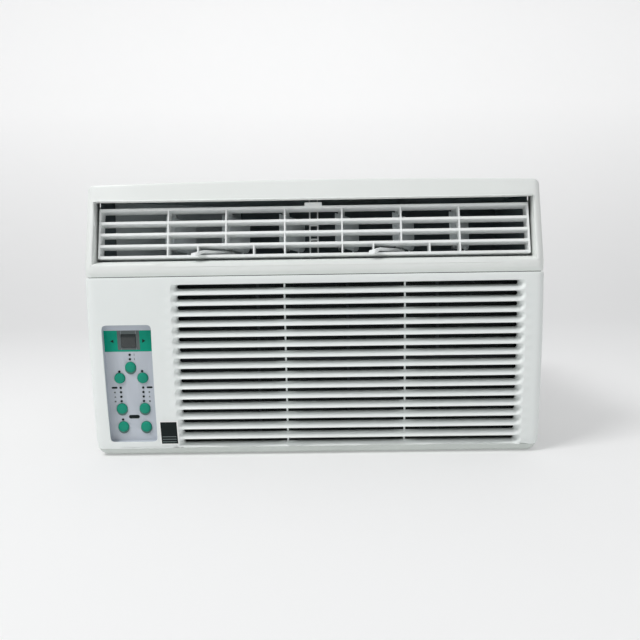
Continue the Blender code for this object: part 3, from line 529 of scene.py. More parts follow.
def give_wall(piece, thickness):
    """Give an open skin its wall, inwards."""
    wall = piece.modifiers.new("wall", "SOLIDIFY")
    wall.thickness = thickness
    wall.offset = -1
    settle(piece)


surround = to_piece(make_surround(), "front_surround", "case_white", "casing", "case_white", 40)
give_wall(surround, SURROUND_WALL)
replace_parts(surround, "front_frame")
print("surround faces:", len(surround.data.polygons))

# a dark foam-black strip in the seam between the surround and the door: painted shade that darkens the seam line
SEAM_SHADE_X = 295 * MM
SEAM_SHADE_Y = (-273.5 * MM, -271 * MM)
SEAM_SHADE_Z = (242.2 * MM, LEDGE_Z + 0.4 * MM)
seam_shade_bm = bmesh.new()
add_block(seam_shade_bm, (-SEAM_SHADE_X, SEAM_SHADE_Y[0], SEAM_SHADE_Z[0]), (SEAM_SHADE_X, SEAM_SHADE_Y[1], SEAM_SHADE_Z[1]))
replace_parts(to_piece(seam_shade_bm, "seam_shade_strip", "foam_black", "casing", "foam_black"), "front_frame")

# %% [markdown]
# The rest of the same moulding is out of sight behind the door: two side walls and the foot
# that the door stands above. The foot follows the skin, so it is another strip of the grid,
# closed at the back. It curls under towards the floor and ends in a thin shadow groove.

# %% Foot and side walls
FOOT_Z = 11.7 * MM
FOOT_CURL = 10.0 * MM
GROOVE_Z, GROOVE_DEEP = 1.2 * MM, 7.0 * MM
SIDE_WALL_X = (HALF_W - 3 * MM, HALF_W - 0.2 * MM)
SIDE_WALL_Y = -232 * MM
FLANGE_X = (290.5 * MM, 299 * MM)
FLANGE_TOP = 340 * MM


def add_both_sides(bm, xs, ys, zs, bevel):
    """The same block at the left and at the right."""
    for sign in (-1, 1):
        near, far = sorted(sign * x for x in xs)
        add_block(bm, (near, ys[0], zs[0]), (far, ys[1], zs[1]), bevel)


def make_foot():
    bm = bmesh.new()
    side = side_lines(HALF_W)
    xs = [-x for x in reversed(side)] + spread(-270 * MM, 270 * MM, 9) + side
    zs = [0.0, 1.1 * MM, 1.5 * MM, 2.4 * MM, 4 * MM, 6.5 * MM, 9 * MM, FOOT_Z]

    def place(x, z):
        tuck = FOOT_CURL * (1 - min(z / FOOT_Z, 1.0)) ** 2 + (GROOVE_DEEP if z < GROOVE_Z else 0.0)
        return Vector((corner_x(x, z), skin_y(x, z) + tuck, z))

    skin_grid(bm, xs, zs, place)
    front = [e for e in bm.edges if e.is_boundary]
    pull_edges(bm, front, lambda c: Vector((c.x, BACK_Y, c.z)))
    upper = [e for e in sharp_edges(bm, 50) if all(v.co.z > FOOT_Z - 0.1 * MM for v in e.verts)]
    round_edges(bm, upper, 1.0 * MM)
    bmesh.ops.holes_fill(bm, edges=[e for e in bm.edges if e.is_boundary])
    add_both_sides(bm, SIDE_WALL_X, (SIDE_WALL_Y, BACK_Y), (FOOT_Z - 1 * MM, LEDGE_Z + 1 * MM), 0.6 * MM)
    add_both_sides(bm, FLANGE_X, (BACK_Y - 2.5 * MM, BACK_Y), (FOOT_Z, FLANGE_TOP), 0.4 * MM)
    turn_out(bm)
    return bm


# the foot wears the darker white, which is painted shade for its curl towards the floor
foot = to_piece(make_foot(), "front_foot", "foot_shaded_white", "casing", "case_white", 40)
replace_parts(foot, "front_frame")
print("foot faces:", len(foot.data.polygons))

# %% [markdown]
# The grille door is the heart of the front. Each row is a shallow pocket pressed into the skin:
# under the nose of one blade there is a dark gap, and below it the next blade's face comes
# forward and down to its own nose. Seen along X that is a saw-tooth, so the door is a grid
# whose depth is the skin plus the saw-tooth, with the gap's faces deleted. The pockets end in
# half-round scoops. Sixteen separate blades glued to a frame would not have these soft ends.

# %% The saw-tooth of the grille
ROWS = 16
PITCH = 13.95 * MM
GAP_TOP = 232.6 * MM
POCKET_X = (-187 * MM, 274 * MM)
BAYS = ((-180 * MM, -40.2 * MM), (-37.8 * MM, 117.8 * MM), (120.2 * MM, 266 * MM))
DEEP = 10.5 * MM
RIM_WIDTH = 2.2 * MM
RIM_PROUD = 0.5 * MM
# one pitch, in millimetres below the top of its gap: where the gap is open, and the depth
GAP = (0.8, 5.9)
NOSE = 13.2
TOOTH = ((0.0, 0.9), (GAP[0], DEEP / MM), (GAP[1], DEEP / MM), (8.3, 6.2), (10.8, 2.5), (12.5, 0.6),
         (NOSE, 0.0), (PITCH / MM, 0.9))
SCOOP_MIDDLE, SCOOP_HALF, SCOOP_INSET = 6.0, 6.6, 5.5
SCOOP_RUN = 6.5 * MM
GAP_END = 2.2 * MM


def tooth_depth(below):
    """Depth at a distance below the top of a gap."""
    s = below / MM
    for (a, da), (b, db) in zip(TOOTH, TOOTH[1:]):
        if s <= b:
            return (da + (db - da) * (s - a) / (b - a)) * MM
    return 0.0


def pocket_depth(x, z):
    """The saw-tooth, faded out at both ends of a row into a scoop with a thin proud rim."""
    turns = (GAP_TOP - z) / PITCH
    row = floor(turns + 1e-6)
    if row < 0 or row >= ROWS:
        return 0.0
    below = (turns - row) * PITCH
    if row == ROWS - 1 and below > NOSE * MM:
        return 0.0
    middle = (below / MM - SCOOP_MIDDLE) / SCOOP_HALF
    inset = SCOOP_INSET * MM * (1 - sqrt(max(1 - middle ** 2, 0.0)))
    reach = min(x - POCKET_X[0], POCKET_X[1] - x) - inset
    if -RIM_WIDTH < reach < 0 and below < (SCOOP_MIDDLE + SCOOP_HALF) * MM:
        return -RIM_PROUD * sin(pi * -reach / RIM_WIDTH)
    share = min(max(reach / SCOOP_RUN, 0.0), 1.0)
    return tooth_depth(below) * (0.25 * min(share * 4, 1.0) + 0.75 * max(share - 0.45, 0.0) / 0.55)


def gap_end_x(x, z):
    """The ends of the gaps are round, so their corners draw in along X."""
    turns = (GAP_TOP - z) / PITCH
    below = (turns - floor(turns + 1e-6)) * PITCH
    if not 0 <= turns + 1e-6 < ROWS or below > (GAP[1] + 0.1) * MM:
        return x
    middle = min(abs(below / MM - sum(GAP) / 2) / (sum(GAP) / 2 - GAP[0] + 0.05), 1.0)
    pull = GAP_END * (1 - sqrt(1 - middle ** 2))
    if abs(x - BAYS[0][0]) < 0.01 * MM:
        return x + pull
    return x - pull if abs(x - BAYS[-1][1]) < 0.01 * MM else x


print("pocket depth at mid gap:", round(pocket_depth(0, GAP_TOP - 3 * MM), 4))

# %% The door's skin
DOOR_LOW, DOOR_HIGH = 12.3 * MM, 242.6 * MM
DOOR_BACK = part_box("intake_panel")[1][1]
DOOR_WALL = 1.6 * MM
SCOOP_LINES = (-2.2, -1.1, 0, 1.2, 2.6, 4.0, 5.4, 10.5, 12.5)
CLOSE = 0.2 * MM


def at_top(edge):
    return all(v.co.z > DOOR_HIGH - CLOSE for v in edge.verts)


def at_bottom(edge):
    return all(v.co.z < DOOR_LOW + CLOSE for v in edge.verts)


def at_side(edge):
    return all(abs(v.co.x) > corner_x(HALF_W, v.co.z) - CLOSE for v in edge.verts)


def door_place(x, z):
    return Vector((corner_x(gap_end_x(x, z), z), skin_y(x, z) + pocket_depth(x, z), z))


def make_door():
    bm = bmesh.new()
    side = side_lines(HALF_W)
    xs = {-x for x in side} | set(side) | {x for bay in BAYS for x in bay}
    xs |= {POCKET_X[0] + s * MM for s in SCOOP_LINES} | {POCKET_X[1] - s * MM for s in SCOOP_LINES}
    xs |= set(spread(-281 * MM, -200 * MM, 5)) | set(spread(-150 * MM, 240 * MM, 12))
    zs = {DOOR_LOW, 15 * MM, 238 * MM, DOOR_HIGH}
    for row in range(ROWS):
        for s in (0.0, *spread(*GAP, 4), 8.3, 10.8, 12.5, NOSE):
            zs.add(round(GAP_TOP - row * PITCH - s * MM, 7))
    zs = sorted(z for z in zs if DOOR_LOW <= z <= DOOR_HIGH)
    skin_grid(bm, sorted(xs), zs, door_place)
    gone = []
    for face in bm.faces:
        centre = face.calc_center_median()
        turns = (GAP_TOP - centre.z) / PITCH
        below = (turns - floor(turns)) * PITCH / MM
        in_bay = any(a < centre.x < b for a, b in BAYS)
        if 0 <= turns < ROWS and GAP[0] < below < GAP[1] and in_bay:
            gone.append(face)
    bmesh.ops.delete(bm, geom=gone, context="FACES")
    outer = [e for e in bm.edges if e.is_boundary and (at_top(e) or at_side(e))]
    foot_edges = [e for e in bm.edges if e.is_boundary and at_bottom(e)]
    pull_edges(bm, outer, lambda c: Vector((c.x, DOOR_BACK, c.z)))
    pull_edges(bm, foot_edges, lambda c: Vector((c.x, c.y + 3 * MM, c.z)))
    round_edges(bm, [e for e in sharp_edges(bm, 50) if at_top(e) or at_bottom(e)], 1.0 * MM)
    turn_out(bm)
    return bm


door = to_piece(make_door(), "grille_door", "grille_white", "intake_door", "grille_white", 38)
give_wall(door, DOOR_WALL)
print("door faces:", len(door.data.polygons))

# %% [markdown]
# The control window is a tapered hole with round corners. Here a Boolean is right after all:
# the hole crosses the grid at an angle, and a rolled bead around it hides the cut and catches
# the light as the moulded edge does.

# %% The control window and its bead
WINDOW = ((-280 * MM, 181 * MM), (-214 * MM, 181 * MM), (-214.3 * MM, 20 * MM), (-278.8 * MM, 20 * MM))
WINDOW_ROUND = 7 * MM


def window_outline(grow=0.0, steps=5):
    """The window's outline, clockwise, with round corners, grown outwards by a margin."""
    centre = sum((Vector(p) for p in WINDOW), Vector((0, 0))) / 4
    points = []
    for index, corner in enumerate(WINDOW):
        here = Vector(corner)
        before = (Vector(WINDOW[index - 1]) - here).normalized()
        after = (Vector(WINDOW[(index + 1) % 4]) - here).normalized()
        out = Vector((1 if here.x > centre.x else -1, 1 if here.y > centre.y else -1)) * grow
        start, end = here + before * WINDOW_ROUND, here + after * WINDOW_ROUND
        for step in range(steps + 1):
            t = step / steps
            points.append(start * (1 - t) ** 2 + here * 2 * t * (1 - t) + end * t * t + out)
    return points


def outline_prism(points, low_y, high_y):
    bm = bmesh.new()
    face = bm.faces.new([bm.verts.new((p.x, low_y, p.y)) for p in points])
    thicken(bm, [face], (0, high_y - low_y, 0))
    bmesh.ops.recalc_face_normals(bm, faces=bm.faces)
    return bm


carve(door, outline_prism(window_outline(), -300 * MM, -240 * MM))
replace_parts(door, "intake_panel")


def loop_tube(name, points, radius, finish, body, slot):
    """A thin round bead along a closed loop of points."""
    curve = bpy.data.curves.new(name, "CURVE")
    curve.dimensions = "3D"
    curve.bevel_depth = radius
    curve.bevel_resolution = 3
    spline = curve.splines.new("POLY")
    spline.points.add(len(points) - 1)
    for spot, point in zip(spline.points, points):
        spot.co = (*point, 1.0)
    spline.use_cyclic_u = True
    holder = new_object(name, curve)
    bpy.context.view_layer.update()
    mesh = bpy.data.meshes.new_from_object(holder)
    bpy.data.objects.remove(holder, do_unlink=True)
    bm = bmesh.new()
    bm.from_mesh(mesh)
    bpy.data.meshes.remove(mesh)
    turn_out(bm)
    return to_piece(bm, name, finish, body, slot, 60)


BEAD_R, BEAD_SUNK, BEAD_STEP = 0.85 * MM, 0.75 * MM, 8 * MM
outline = window_outline(0.2 * MM)
dense = []
for a, b in zip(outline, outline[1:] + outline[:1]):
    pieces = max(int((b - a).length / BEAD_STEP), 1)
    dense += [a + (b - a) * i / pieces for i in range(pieces)]
bead = loop_tube("control_window_bead", [(p.x, skin_y(p.x, p.y) + BEAD_SUNK, p.y) for p in dense],
                 BEAD_R, "grille_white", "intake_door", "grille_white")
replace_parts(bead, "intake_panel")
print("window bead points:", len(dense))

# %% [markdown]
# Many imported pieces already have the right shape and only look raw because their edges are
# knife sharp. A copy of the mesh is merged, its flat triangles are dissolved into whole faces,
# and a small bevel on the sharp edges gives the highlights that a real edge has.

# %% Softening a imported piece
def refine(node, finish, width, segments=2, angle=30):
    bm = bmesh.new()
    bm.from_mesh(nodes[node].data)
    bmesh.ops.remove_doubles(bm, verts=bm.verts, dist=5e-6)
    bmesh.ops.dissolve_limit(bm, angle_limit=radians(1.0), verts=bm.verts, edges=bm.edges)
    if width:
        round_edges(bm, sharp_edges(bm, angle), width * MM, segments, clamp_overlap=True)
    piece = to_piece(bm, f"{node}_finished", finish, body_of_node[node], slot_of_node[node], angle + 8)
    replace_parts(piece, node)


refine("louvre_frame", "louvre_white", 0.5)
refine("centre_support", "louvre_white", 0.3)
# a small finger tab on the louvre frame's top edge, placed from the frame's tilt axis
LOUVRE_AXIS = (0, -246.5 * MM, 300.1 * MM)
TAB_LOW, TAB_HIGH = (-11.5 * MM, -9.5 * MM, 32.0 * MM), (11.5 * MM, -5 * MM, 37.6 * MM)
tab_bm = bmesh.new()
add_block(tab_bm, TAB_LOW, TAB_HIGH, 0.8 * MM)
stand(tab_bm, tab_bm.verts, Matrix.Rotation(-LEAN, 3, "X"), LOUVRE_AXIS)
to_piece(tab_bm, "louvre_tab", "louvre_white", "louvres", "grille_white", 30)
for side_name in ("left", "right"):
    for place_name in ("inner", "middle", "outer"):
        refine(f"vane_{side_name}_{place_name}", "vane_grey", 0.3)
    refine(f"link_bar_{side_name}", "vane_grey", 0.4)
    refine(f"lever_{side_name}", "louvre_white", 0.9, 3)

# %% [markdown]
# The control plate lies in a plane of its own, parallel to the skin but sunk behind it. The keys
# are pressed square to it, so the axis of a key's joint gives that plane: everything printed on
# the plate is placed with plate coordinates and turned into the slope at the end.

# %% The control plate's plane
press = [j for j in frame["joints"] if j["name"] == "button_top_press"][0]
plate_axis = Vector(press["axis"]).normalized()
plate_turn = Vector((0, 1, 0)).rotation_difference(plate_axis).to_matrix()
RIM_RISE = 6.0 * MM
PLATE_THICK = 2.5 * MM
plate_centre = sum((Vector(corner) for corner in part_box("control_fascia")), Vector()) / 2
plate_origin = plate_centre + plate_turn @ Vector((0, (RIM_RISE - PLATE_THICK) / 2, 0))


def plate_place(x, z, proud=0.0):
    """World place of a spot on the plate, from its own X and up-the-slope coordinates."""
    return plate_origin + plate_turn @ Vector((x, -proud, z))


print("plate origin", [round(c, 4) for c in plate_origin])


def on_plate(bm, x, z, proud):
    """Stand a shape, modelled round the origin with its face towards -Y, on the plate."""
    stand(bm, bm.verts, plate_turn, plate_place(x, z, proud))


# %% Plate, band and display
refine("control_fascia", "fascia_grey", 0.5)
refine("control_board", "board_green", 0.2)


def flat_print(name, shapes, finish, proud=0.0, thick=0.12):
    """Ink or a thin overlay: each shape is a list of plate corners or a (x, z, radius) dot."""
    bm = bmesh.new()
    for shape in shapes:
        if len(shape) == 3 and not hasattr(shape[0], "__len__"):
            made = bmesh.ops.create_circle(bm, cap_ends=True, segments=20, radius=shape[2])["verts"]
            stand(bm, made, Matrix.Rotation(pi / 2, 3, "X"), (shape[0], 0, shape[1]))
        else:
            bm.faces.new([bm.verts.new((x, 0, z)) for x, z in shape])
    thicken(bm, list(bm.faces), (0, -thick * MM, 0))
    bmesh.ops.recalc_face_normals(bm, faces=bm.faces)
    on_plate(bm, 0, 0, proud)
    to_piece(bm, name, finish, "casing", "fascia_grey", 30)


def box_outline(x0, z0, x1, z1, corner=0.0):
    if not corner:
        return [(x0, z0), (x1, z0), (x1, z1), (x0, z1)]
    points = []
    for cx, cz, start in ((x1 - corner, z0 + corner, -90), (x1 - corner, z1 - corner, 0),
                          (x0 + corner, z1 - corner, 90), (x0 + corner, z0 + corner, 180)):
        for step in range(5):
            a = radians(start + 22.5 * step)
            points.append((cx + corner * cos(a), cz + corner * sin(a)))
    return points


DISPLAY_LOW, DISPLAY_HIGH = (-10.6 * MM, 49.3 * MM), (8.9 * MM, 67.3 * MM)
BAND_LOW, BAND_HIGH = 43.9 * MM, 72.6 * MM
HALF_BAND = 33.4 * MM
SLIT = 0.3 * MM
LEFT, RIGHT = DISPLAY_LOW[0] - 5 * MM, DISPLAY_HIGH[0] + 5 * MM
UNDER = DISPLAY_LOW[1] - 3 * MM
flat_print("band_left", [box_outline(-HALF_BAND, BAND_LOW, LEFT, BAND_HIGH)], "band_green")
flat_print("band_right", [box_outline(RIGHT, BAND_LOW, HALF_BAND, BAND_HIGH)], "band_green")
flat_print("band_low", [box_outline(LEFT, BAND_LOW, RIGHT, UNDER)], "band_green")
flat_print("display_surround_left",
           [box_outline(LEFT, UNDER, DISPLAY_LOW[0] - SLIT, BAND_HIGH)], "plate_grey")
flat_print("display_surround_right",
           [box_outline(DISPLAY_HIGH[0] + SLIT, UNDER, RIGHT, BAND_HIGH)], "plate_grey")
flat_print("display_surround_ends",
           [box_outline(DISPLAY_LOW[0], UNDER, DISPLAY_HIGH[0], DISPLAY_LOW[1] - SLIT),
            box_outline(DISPLAY_LOW[0], DISPLAY_HIGH[1] + SLIT, DISPLAY_HIGH[0], BAND_HIGH)],
           "plate_grey")
refine("display_window", "display_dark", 0.5)

# %% [markdown]
# Keys are caps with a domed top and a soft rim. One profile is spun about the key's own axis,
# then stood on the plate. Each key rides on its own body, so it can be pressed.

# %% Keys
KEYS = {"button_top": (-0.5, 22.5), "button_upper_left": (-16.0, 7.5), "button_upper_right": (15.0, 7.5),
        "button_middle_left": (-15.7, -35.0), "button_middle_right": (15.3, -35.0),
        "button_lower_left": (-15.3, -60.5), "button_lower_right": (15.7, -60.8)}


# radius and depth of the key's profile, in millimetres, from the dome to the flange behind
KEY_PROFILE = ((0, -3.0), (3.0, -2.96), (5.2, -2.75), (6.4, -2.4), (6.95, -1.9), (7.15, -1.2), (7.15, 3.3),
               (8.6, 3.3), (8.6, 4.2), (0, 4.2))


def make_key(x, z):
    bm = bmesh.new()
    verts = [bm.verts.new((r * MM, h * MM, 0)) for r, h in KEY_PROFILE]
    edges = [bm.edges.new(pair) for pair in zip(verts, verts[1:])]
    bmesh.ops.spin(bm, geom=verts + edges, cent=(0, 0, 0), axis=(0, 1, 0), angle=2 * pi, steps=40,
                   use_merge=True)
    turn_out(bm)
    on_plate(bm, x * MM, z * MM, 0)
    return bm


for key, (x, z) in KEYS.items():
    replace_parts(to_piece(make_key(x, z), f"{key}_cap", "key_green", key, "key_green", 50), key)
# a painted shadow below five of the keys, an oval a little larger than the cap
SHADE_DROP, SHADE_X, SHADE_Z = 1.8, 7.6, 8.2
SHADED = [place for key, place in KEYS.items() if "upper" not in key]
flat_print("key_painted_shadows",
           [[((x + SHADE_X * cos(radians(a))) * MM, (z - SHADE_DROP + SHADE_Z * sin(radians(a))) * MM)
             for a in range(0, 360, 12)] for x, z in SHADED], "key_painted_shadow", thick=0.3)
print("keys:", len(KEYS))

# %% [markdown]
# The prints are plain signs: dots for the lamps, short bars as headings, small arrows at the
# display, and simple marks beside the lamps. There is no lettering.

# %% Lamps, bars and marks
LAMP_R, LAMP_TOP, LAMP_PITCH = 1.6, -5.9, 6.3
lamps = [(-0.5, 39.6), (-0.6, 33.5), (-16.0, 16.6), (14.6, 16.9), (-15.6, -50.6)]
for column in (-15.7, 14.6):
    lamps += [(column, LAMP_TOP - LAMP_PITCH * i) for i in range(4)]
flat_print("lamps", [(x * MM, z * MM, LAMP_R * MM) for x, z in lamps], "ink_black", thick=0.5)
bars = [box_outline((x - 4.0) * MM, -7.1 * MM, (x + 4.0) * MM, -4.5 * MM, 1.25 * MM) for x in (-24.0, 23.3)]
bars.append(box_outline(-7.4 * MM, -49.4 * MM, 7.4 * MM, -44.3 * MM, 2.5 * MM))
flat_print("heading_bars", bars, "ink_black")


def arrow(x, z, size, turn):
    return [((x + size * cos(radians(turn + a))) * MM, (z + size * sin(radians(turn + a))) * MM)
            for a in (0, 120, 240)]


flat_print("display_arrows", [arrow(-22.3, 58.2, 2.9, 180), arrow(18.9, 58.4, 2.9, 0)],
           "ink_black", 0.13 * MM)
marks = []
for column in (-24.0, 22.5):
    marks.append((column * MM, -12.4 * MM, 1.2 * MM))
    marks.append(arrow(column, -18.9, 1.6, 90))
    marks.append(box_outline((column - 1.2) * MM, -26.2 * MM, (column + 1.2) * MM, -24.0 * MM))
for z in (39.6, 33.5):
    marks.append(box_outline(5.0 * MM, (z - 1.5) * MM, 5.7 * MM, (z + 1.5) * MM))
flat_print("side_marks", marks, "plate_grey")
print("lamps:", len(lamps), "marks:", len(marks))

# %% [markdown]
# A small dark label with a pale border sits at the lower right of the controls. It is a plain
# stand-in: a border, a dark field and three bars, and no words.

# %% Plain label
FILM = 0.05 * MM


def skin_decal(name, corners, finish, lift):
    """A thin four-cornered film laid on the door's skin."""
    bm = bmesh.new()
    bm.faces.new([bm.verts.new((x * MM, 0, z * MM)) for x, z in corners])
    bmesh.ops.subdivide_edges(bm, edges=bm.edges, cuts=6, use_grid_fill=True)
    for vert in bm.verts:
        vert.co.y = skin_y(vert.co.x, vert.co.z) - lift * MM
    thicken(bm, list(bm.faces), (0, FILM, 0))
    turn_out(bm)
    to_piece(bm, name, finish, "intake_door", "grille_white", 30)


LABEL = (-211.2, -186.0, 16.2, 49.8)
LABEL_SLOPE = 0.6
BORDER = 1.6


def label_corners(left, right, low, high):
    return [(left + LABEL_SLOPE, low), (right + LABEL_SLOPE, low), (right, high), (left, high)]


skin_decal("label_border", label_corners(*LABEL), "label_white", 0.55)
field = (LABEL[0] + BORDER, LABEL[1] - BORDER, LABEL[2] + BORDER, LABEL[3] - BORDER)
skin_decal("label_field", label_corners(*field), "ink_black", 0.62)
for index in range(3):
    low = 19.8 + 3.6 * index
    skin_decal(f"label_bar_{index}", label_corners(-208.0, -189.2, low, low + 1.2), "plate_grey", 0.69)

# %% [markdown]
# Heat exchangers are stacks of thin fins on copper hairpins. Each fin is a plain thin plate of
# a few faces, because there are hundreds; the hairpin ends show at the sides, where a half ring
# spun about its centre joins each pair of tubes.

# %% Coils
FIN_THICK = 0.35 * MM
END_PLATE = 1.5 * MM


def make_fins(low, high, pitch, thick):
    bm = bmesh.new()
    count = int((high[0] - low[0]) / pitch)
    for index in range(count + 1):
        x = low[0] + (high[0] - low[0]) * index / count
        add_block(bm, (x - thick / 2, low[1], low[2]), (x + thick / 2, high[1], high[2]))
    bmesh.ops.recalc_face_normals(bm, faces=bm.faces)
    return bm


TUBE_R = 4.0 * MM


def make_hairpins(low, high, rows, columns):
    """Straight tubes through the fins, joined at both ends by half rings."""
    bm = bmesh.new()
    lie_along_x = Matrix.Rotation(pi / 2, 3, "Y")
    for column in range(columns):
        y = low[1] + (high[1] - low[1]) * (column + 0.5) / columns
        for row in range(rows):
            z = low[2] + (high[2] - low[2]) * (row + 0.5) / rows
            made = bmesh.ops.create_cone(bm, cap_ends=True, segments=10, radius1=TUBE_R, radius2=TUBE_R,
                                         depth=high[0] - low[0])["verts"]
            stand(bm, made, lie_along_x, ((low[0] + high[0]) / 2, y, z))
            if row + 1 < rows:
                side = 1 if row % 2 == 0 else -1
                reach = (high[2] - low[2]) / rows / 2
                centre = Vector((high[0] if side > 0 else low[0], y, z + reach))
                start = centre - Vector((0, 0, reach))
                ring = bmesh.ops.create_circle(bm, segments=10, radius=TUBE_R)["verts"]
                bmesh.ops.translate(bm, vec=start, verts=ring)
                bmesh.ops.rotate(bm, cent=start, matrix=lie_along_x, verts=ring)
                edges = list({e for v in ring for e in v.link_edges})
                bmesh.ops.spin(bm, geom=edges, cent=centre, axis=(0, -side, 0), angle=pi, steps=8)
    turn_out(bm)
    return bm


def make_coil(node, rows, columns, pitch):
    low, high = (Vector(c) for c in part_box(node))
    margin = Vector((3 * MM, 1.5 * MM, 0.8 * MM))
    fins = to_piece(make_fins(low + margin, high - margin, pitch, FIN_THICK), f"{node}_fins",
                    "coil_aluminium", body_of_node[node], slot_of_node[node], 30)
    tubes = to_piece(make_hairpins(low, high, rows, columns), f"{node}_hairpins", "copper",
                     body_of_node[node], "copper", 50)
    bm = bmesh.new()
    for x in (low.x, high.x - END_PLATE):
        add_block(bm, (x, low.y, low.z), (x + END_PLATE, high.y, high.z), 0.3 * MM)
    plates = to_piece(bm, f"{node}_end_plates", "zinc_sheet", body_of_node[node], "zinc_sheet", 30)
    for piece in (fins, tubes, plates):
        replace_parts(piece, node)
    print(node, "fins", len(fins.data.polygons) // 6)


make_coil("evaporator_coil", 8, 2, 2.4 * MM)
make_coil("condenser_coil", 12, 2, 2.6 * MM)

# %% [markdown]
# The filter is a frame with a woven net. The net is a thin sheet whose weave comes from two
# crossed wave patterns that drive both its holes and its bump.

# %% Filter
WEAVE_SCALE = 160.0
NET_MARGIN = 4 * MM
refine("air_filter", "filter_grey", 0.5)


def make_net_finish():
    material, tree, shader = principled("filter_net")
    coords = tree.nodes.new("ShaderNodeTexCoord").outputs["Object"]
    waves = []
    for axis in ("X", "Z"):
        wave = tree.nodes.new("ShaderNodeTexWave")
        wave.bands_direction = axis
        wave.inputs["Scale"].default_value = WEAVE_SCALE
        tree.links.new(coords, wave.inputs["Vector"])
        waves.append(wave)
    top = tree.nodes.new("ShaderNodeMath")
    top.operation = "MAXIMUM"
    tree.links.new(waves[0].outputs["Fac"], top.inputs[0])
    tree.links.new(waves[1].outputs["Fac"], top.inputs[1])
    tree.links.new(mapped(tree, top.outputs["Value"], 0.55, 0.75, 0.75, 1.0), shader.inputs["Alpha"])
    tree.links.new(colour_mix(tree, top.outputs["Value"], (0.006, 0.010, 0.010), (0.014, 0.020, 0.020)),
                   shader.inputs["Base Color"])
    shader.inputs["Roughness"].default_value = 0.7
    add_bump(tree, top.outputs["Value"], shader, 0.5, 0.4 * MM)
    finishes["filter_net"] = material


make_net_finish()
filter_low, filter_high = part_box("air_filter")
net_bm = bmesh.new()
net_y = (filter_low[1] + filter_high[1]) / 2
add_block(net_bm, (filter_low[0] + NET_MARGIN, net_y - 0.2 * MM, filter_low[2] + NET_MARGIN),
          (filter_high[0] - NET_MARGIN, net_y + 0.2 * MM, filter_high[2] - NET_MARGIN))
net = to_piece(net_bm, "air_filter_net", "filter_net", "intake_door", "filter_grey", 30)
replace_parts(net, "air_filter")
print("net box:", [[round(c, 3) for c in corner] for corner in (filter_low, filter_high)])

# %% [markdown]
# The sheet-metal cabinet has pressed hoods over its side vents and screws along its edges. A
# hood is a small wedge with soft edges, repeated in rows; each screw is a low cone with a
# sunken square drive.

# %% Cabinet
refine("cabinet_shell", "cabinet_grey", 0.35, 2, 35)
refine("rear_guard", "cabinet_grey", 0.5, 2, 30)
refine("base_pan", "zinc_sheet", 0.5, 2, 30)
CABINET_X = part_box("cabinet_shell")[1][0]
VENT_Y, VENT_STEP_Y, VENT_LONG = 60 * MM, 94 * MM, 81 * MM
VENT_Z, VENT_STEP_Z = 125.5 * MM, 22 * MM
HOOD_TALL, HOOD_SKIN, HOOD_OUT = 7 * MM, 0.8 * MM, 2.6 * MM


def make_hoods(sign):
    bm = bmesh.new()
    for column in range(2):
        low_y = VENT_Y + VENT_STEP_Y * column
        for row in range(8):
            z = VENT_Z + VENT_STEP_Z * row
            made = add_block(bm, (sign * CABINET_X - HOOD_SKIN, low_y - 1 * MM, z),
                             (sign * CABINET_X + HOOD_SKIN, low_y + VENT_LONG, z + HOOD_TALL), 0.5 * MM)
            for vert in made:
                lower = (z + HOOD_TALL - vert.co.z) / HOOD_TALL
                vert.co.x += sign * HOOD_OUT * lower
    bmesh.ops.recalc_face_normals(bm, faces=bm.faces)
    return bm


for label, sign in (("left", -1), ("right", 1)):
    to_piece(make_hoods(sign), f"vent_hoods_{label}", "cabinet_grey", "casing", "cabinet_grey", 40)


def add_screw(bm, place, out):
    """A low round head with a sunken square drive, facing along out."""
    made = bmesh.ops.create_cone(bm, cap_ends=True, segments=14, radius1=4.2 * MM, radius2=3.2 * MM,
                                 depth=2.0 * MM)["verts"]
    cap = max({f for v in made for f in v.link_faces}, key=lambda f: f.calc_center_median().z)
    drive = bmesh.ops.inset_region(bm, faces=[cap], thickness=1.6 * MM)
    bmesh.ops.translate(bm, vec=(0, 0, -1.1 * MM), verts=cap.verts)
    every = set(made) | {v for f in drive["faces"] for v in f.verts} | set(cap.verts)
    turn = Vector((0, 0, 1)).rotation_difference(Vector(out)).to_matrix()
    stand(bm, list(every), turn, Vector(place) + Vector(out) * 0.9 * MM)


screws = bmesh.new()
for sign in (-1, 1):
    for y, z in ((-190, 330), (-190, 90), (30, 40), (255, 330), (255, 190)):
        add_screw(screws, (sign * CABINET_X, y * MM, z * MM), (sign, 0, 0))
to_piece(screws, "cabinet_edge_screws", "shaft_steel", "casing", "shaft_steel", 30)
rear_screws = bmesh.new()
for x, z in ((-275, 20), (275, 20), (-275, 340), (275, 340), (0, 20)):
    add_screw(rear_screws, (x * MM, cad_high[1] - 2.0 * MM, z * MM), (0, 1, 0))
to_piece(rear_screws, "guard_screws", "shaft_steel", "casing", "shaft_steel", 30)
print("cabinet half width:", round(CABINET_X, 4))

# %% [markdown]
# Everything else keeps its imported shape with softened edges: the fans, the scroll, the motor,
# the compressor and its tubes. Turned pieces get a wider smoothing angle, so that their facets
# read as round.

# %% The machinery
MACHINERY = {
    "zinc_sheet": ("bulkhead", "motor_bracket", "condenser_shroud", "control_box"),
    "duct_foam": ("air_duct_floor", "air_duct_lid"),
    "duct_shade": ("air_duct_walls",),
    "foam_black": ("drain_pan",),
    "dark_plastic": ("blower_housing", "blower_inlet_ring", "blower_wheel", "condenser_fan", "terminal_cover",
                     "cord_gland"),
    "enamel_black": ("compressor", "accumulator"),
    "motor_grey": ("fan_motor",),
    "shaft_steel": ("fan_shaft", "run_capacitor", "room_thermistor", "cabinet_screw_left",
                    "cabinet_screw_right"),
    "copper": ("suction_tube", "accumulator_outlet_tube", "discharge_tube", "liquid_tube", "filter_drier"),
    "rubber": ("compressor_grommet_1", "compressor_grommet_2", "compressor_grommet_3"),
}
for finish, names in MACHINERY.items():
    for node in names:
        tube_like = node.endswith("_tube")
        refine(node, finish, 0.0 if tube_like else 0.4, 1, 55 if tube_like else 32)
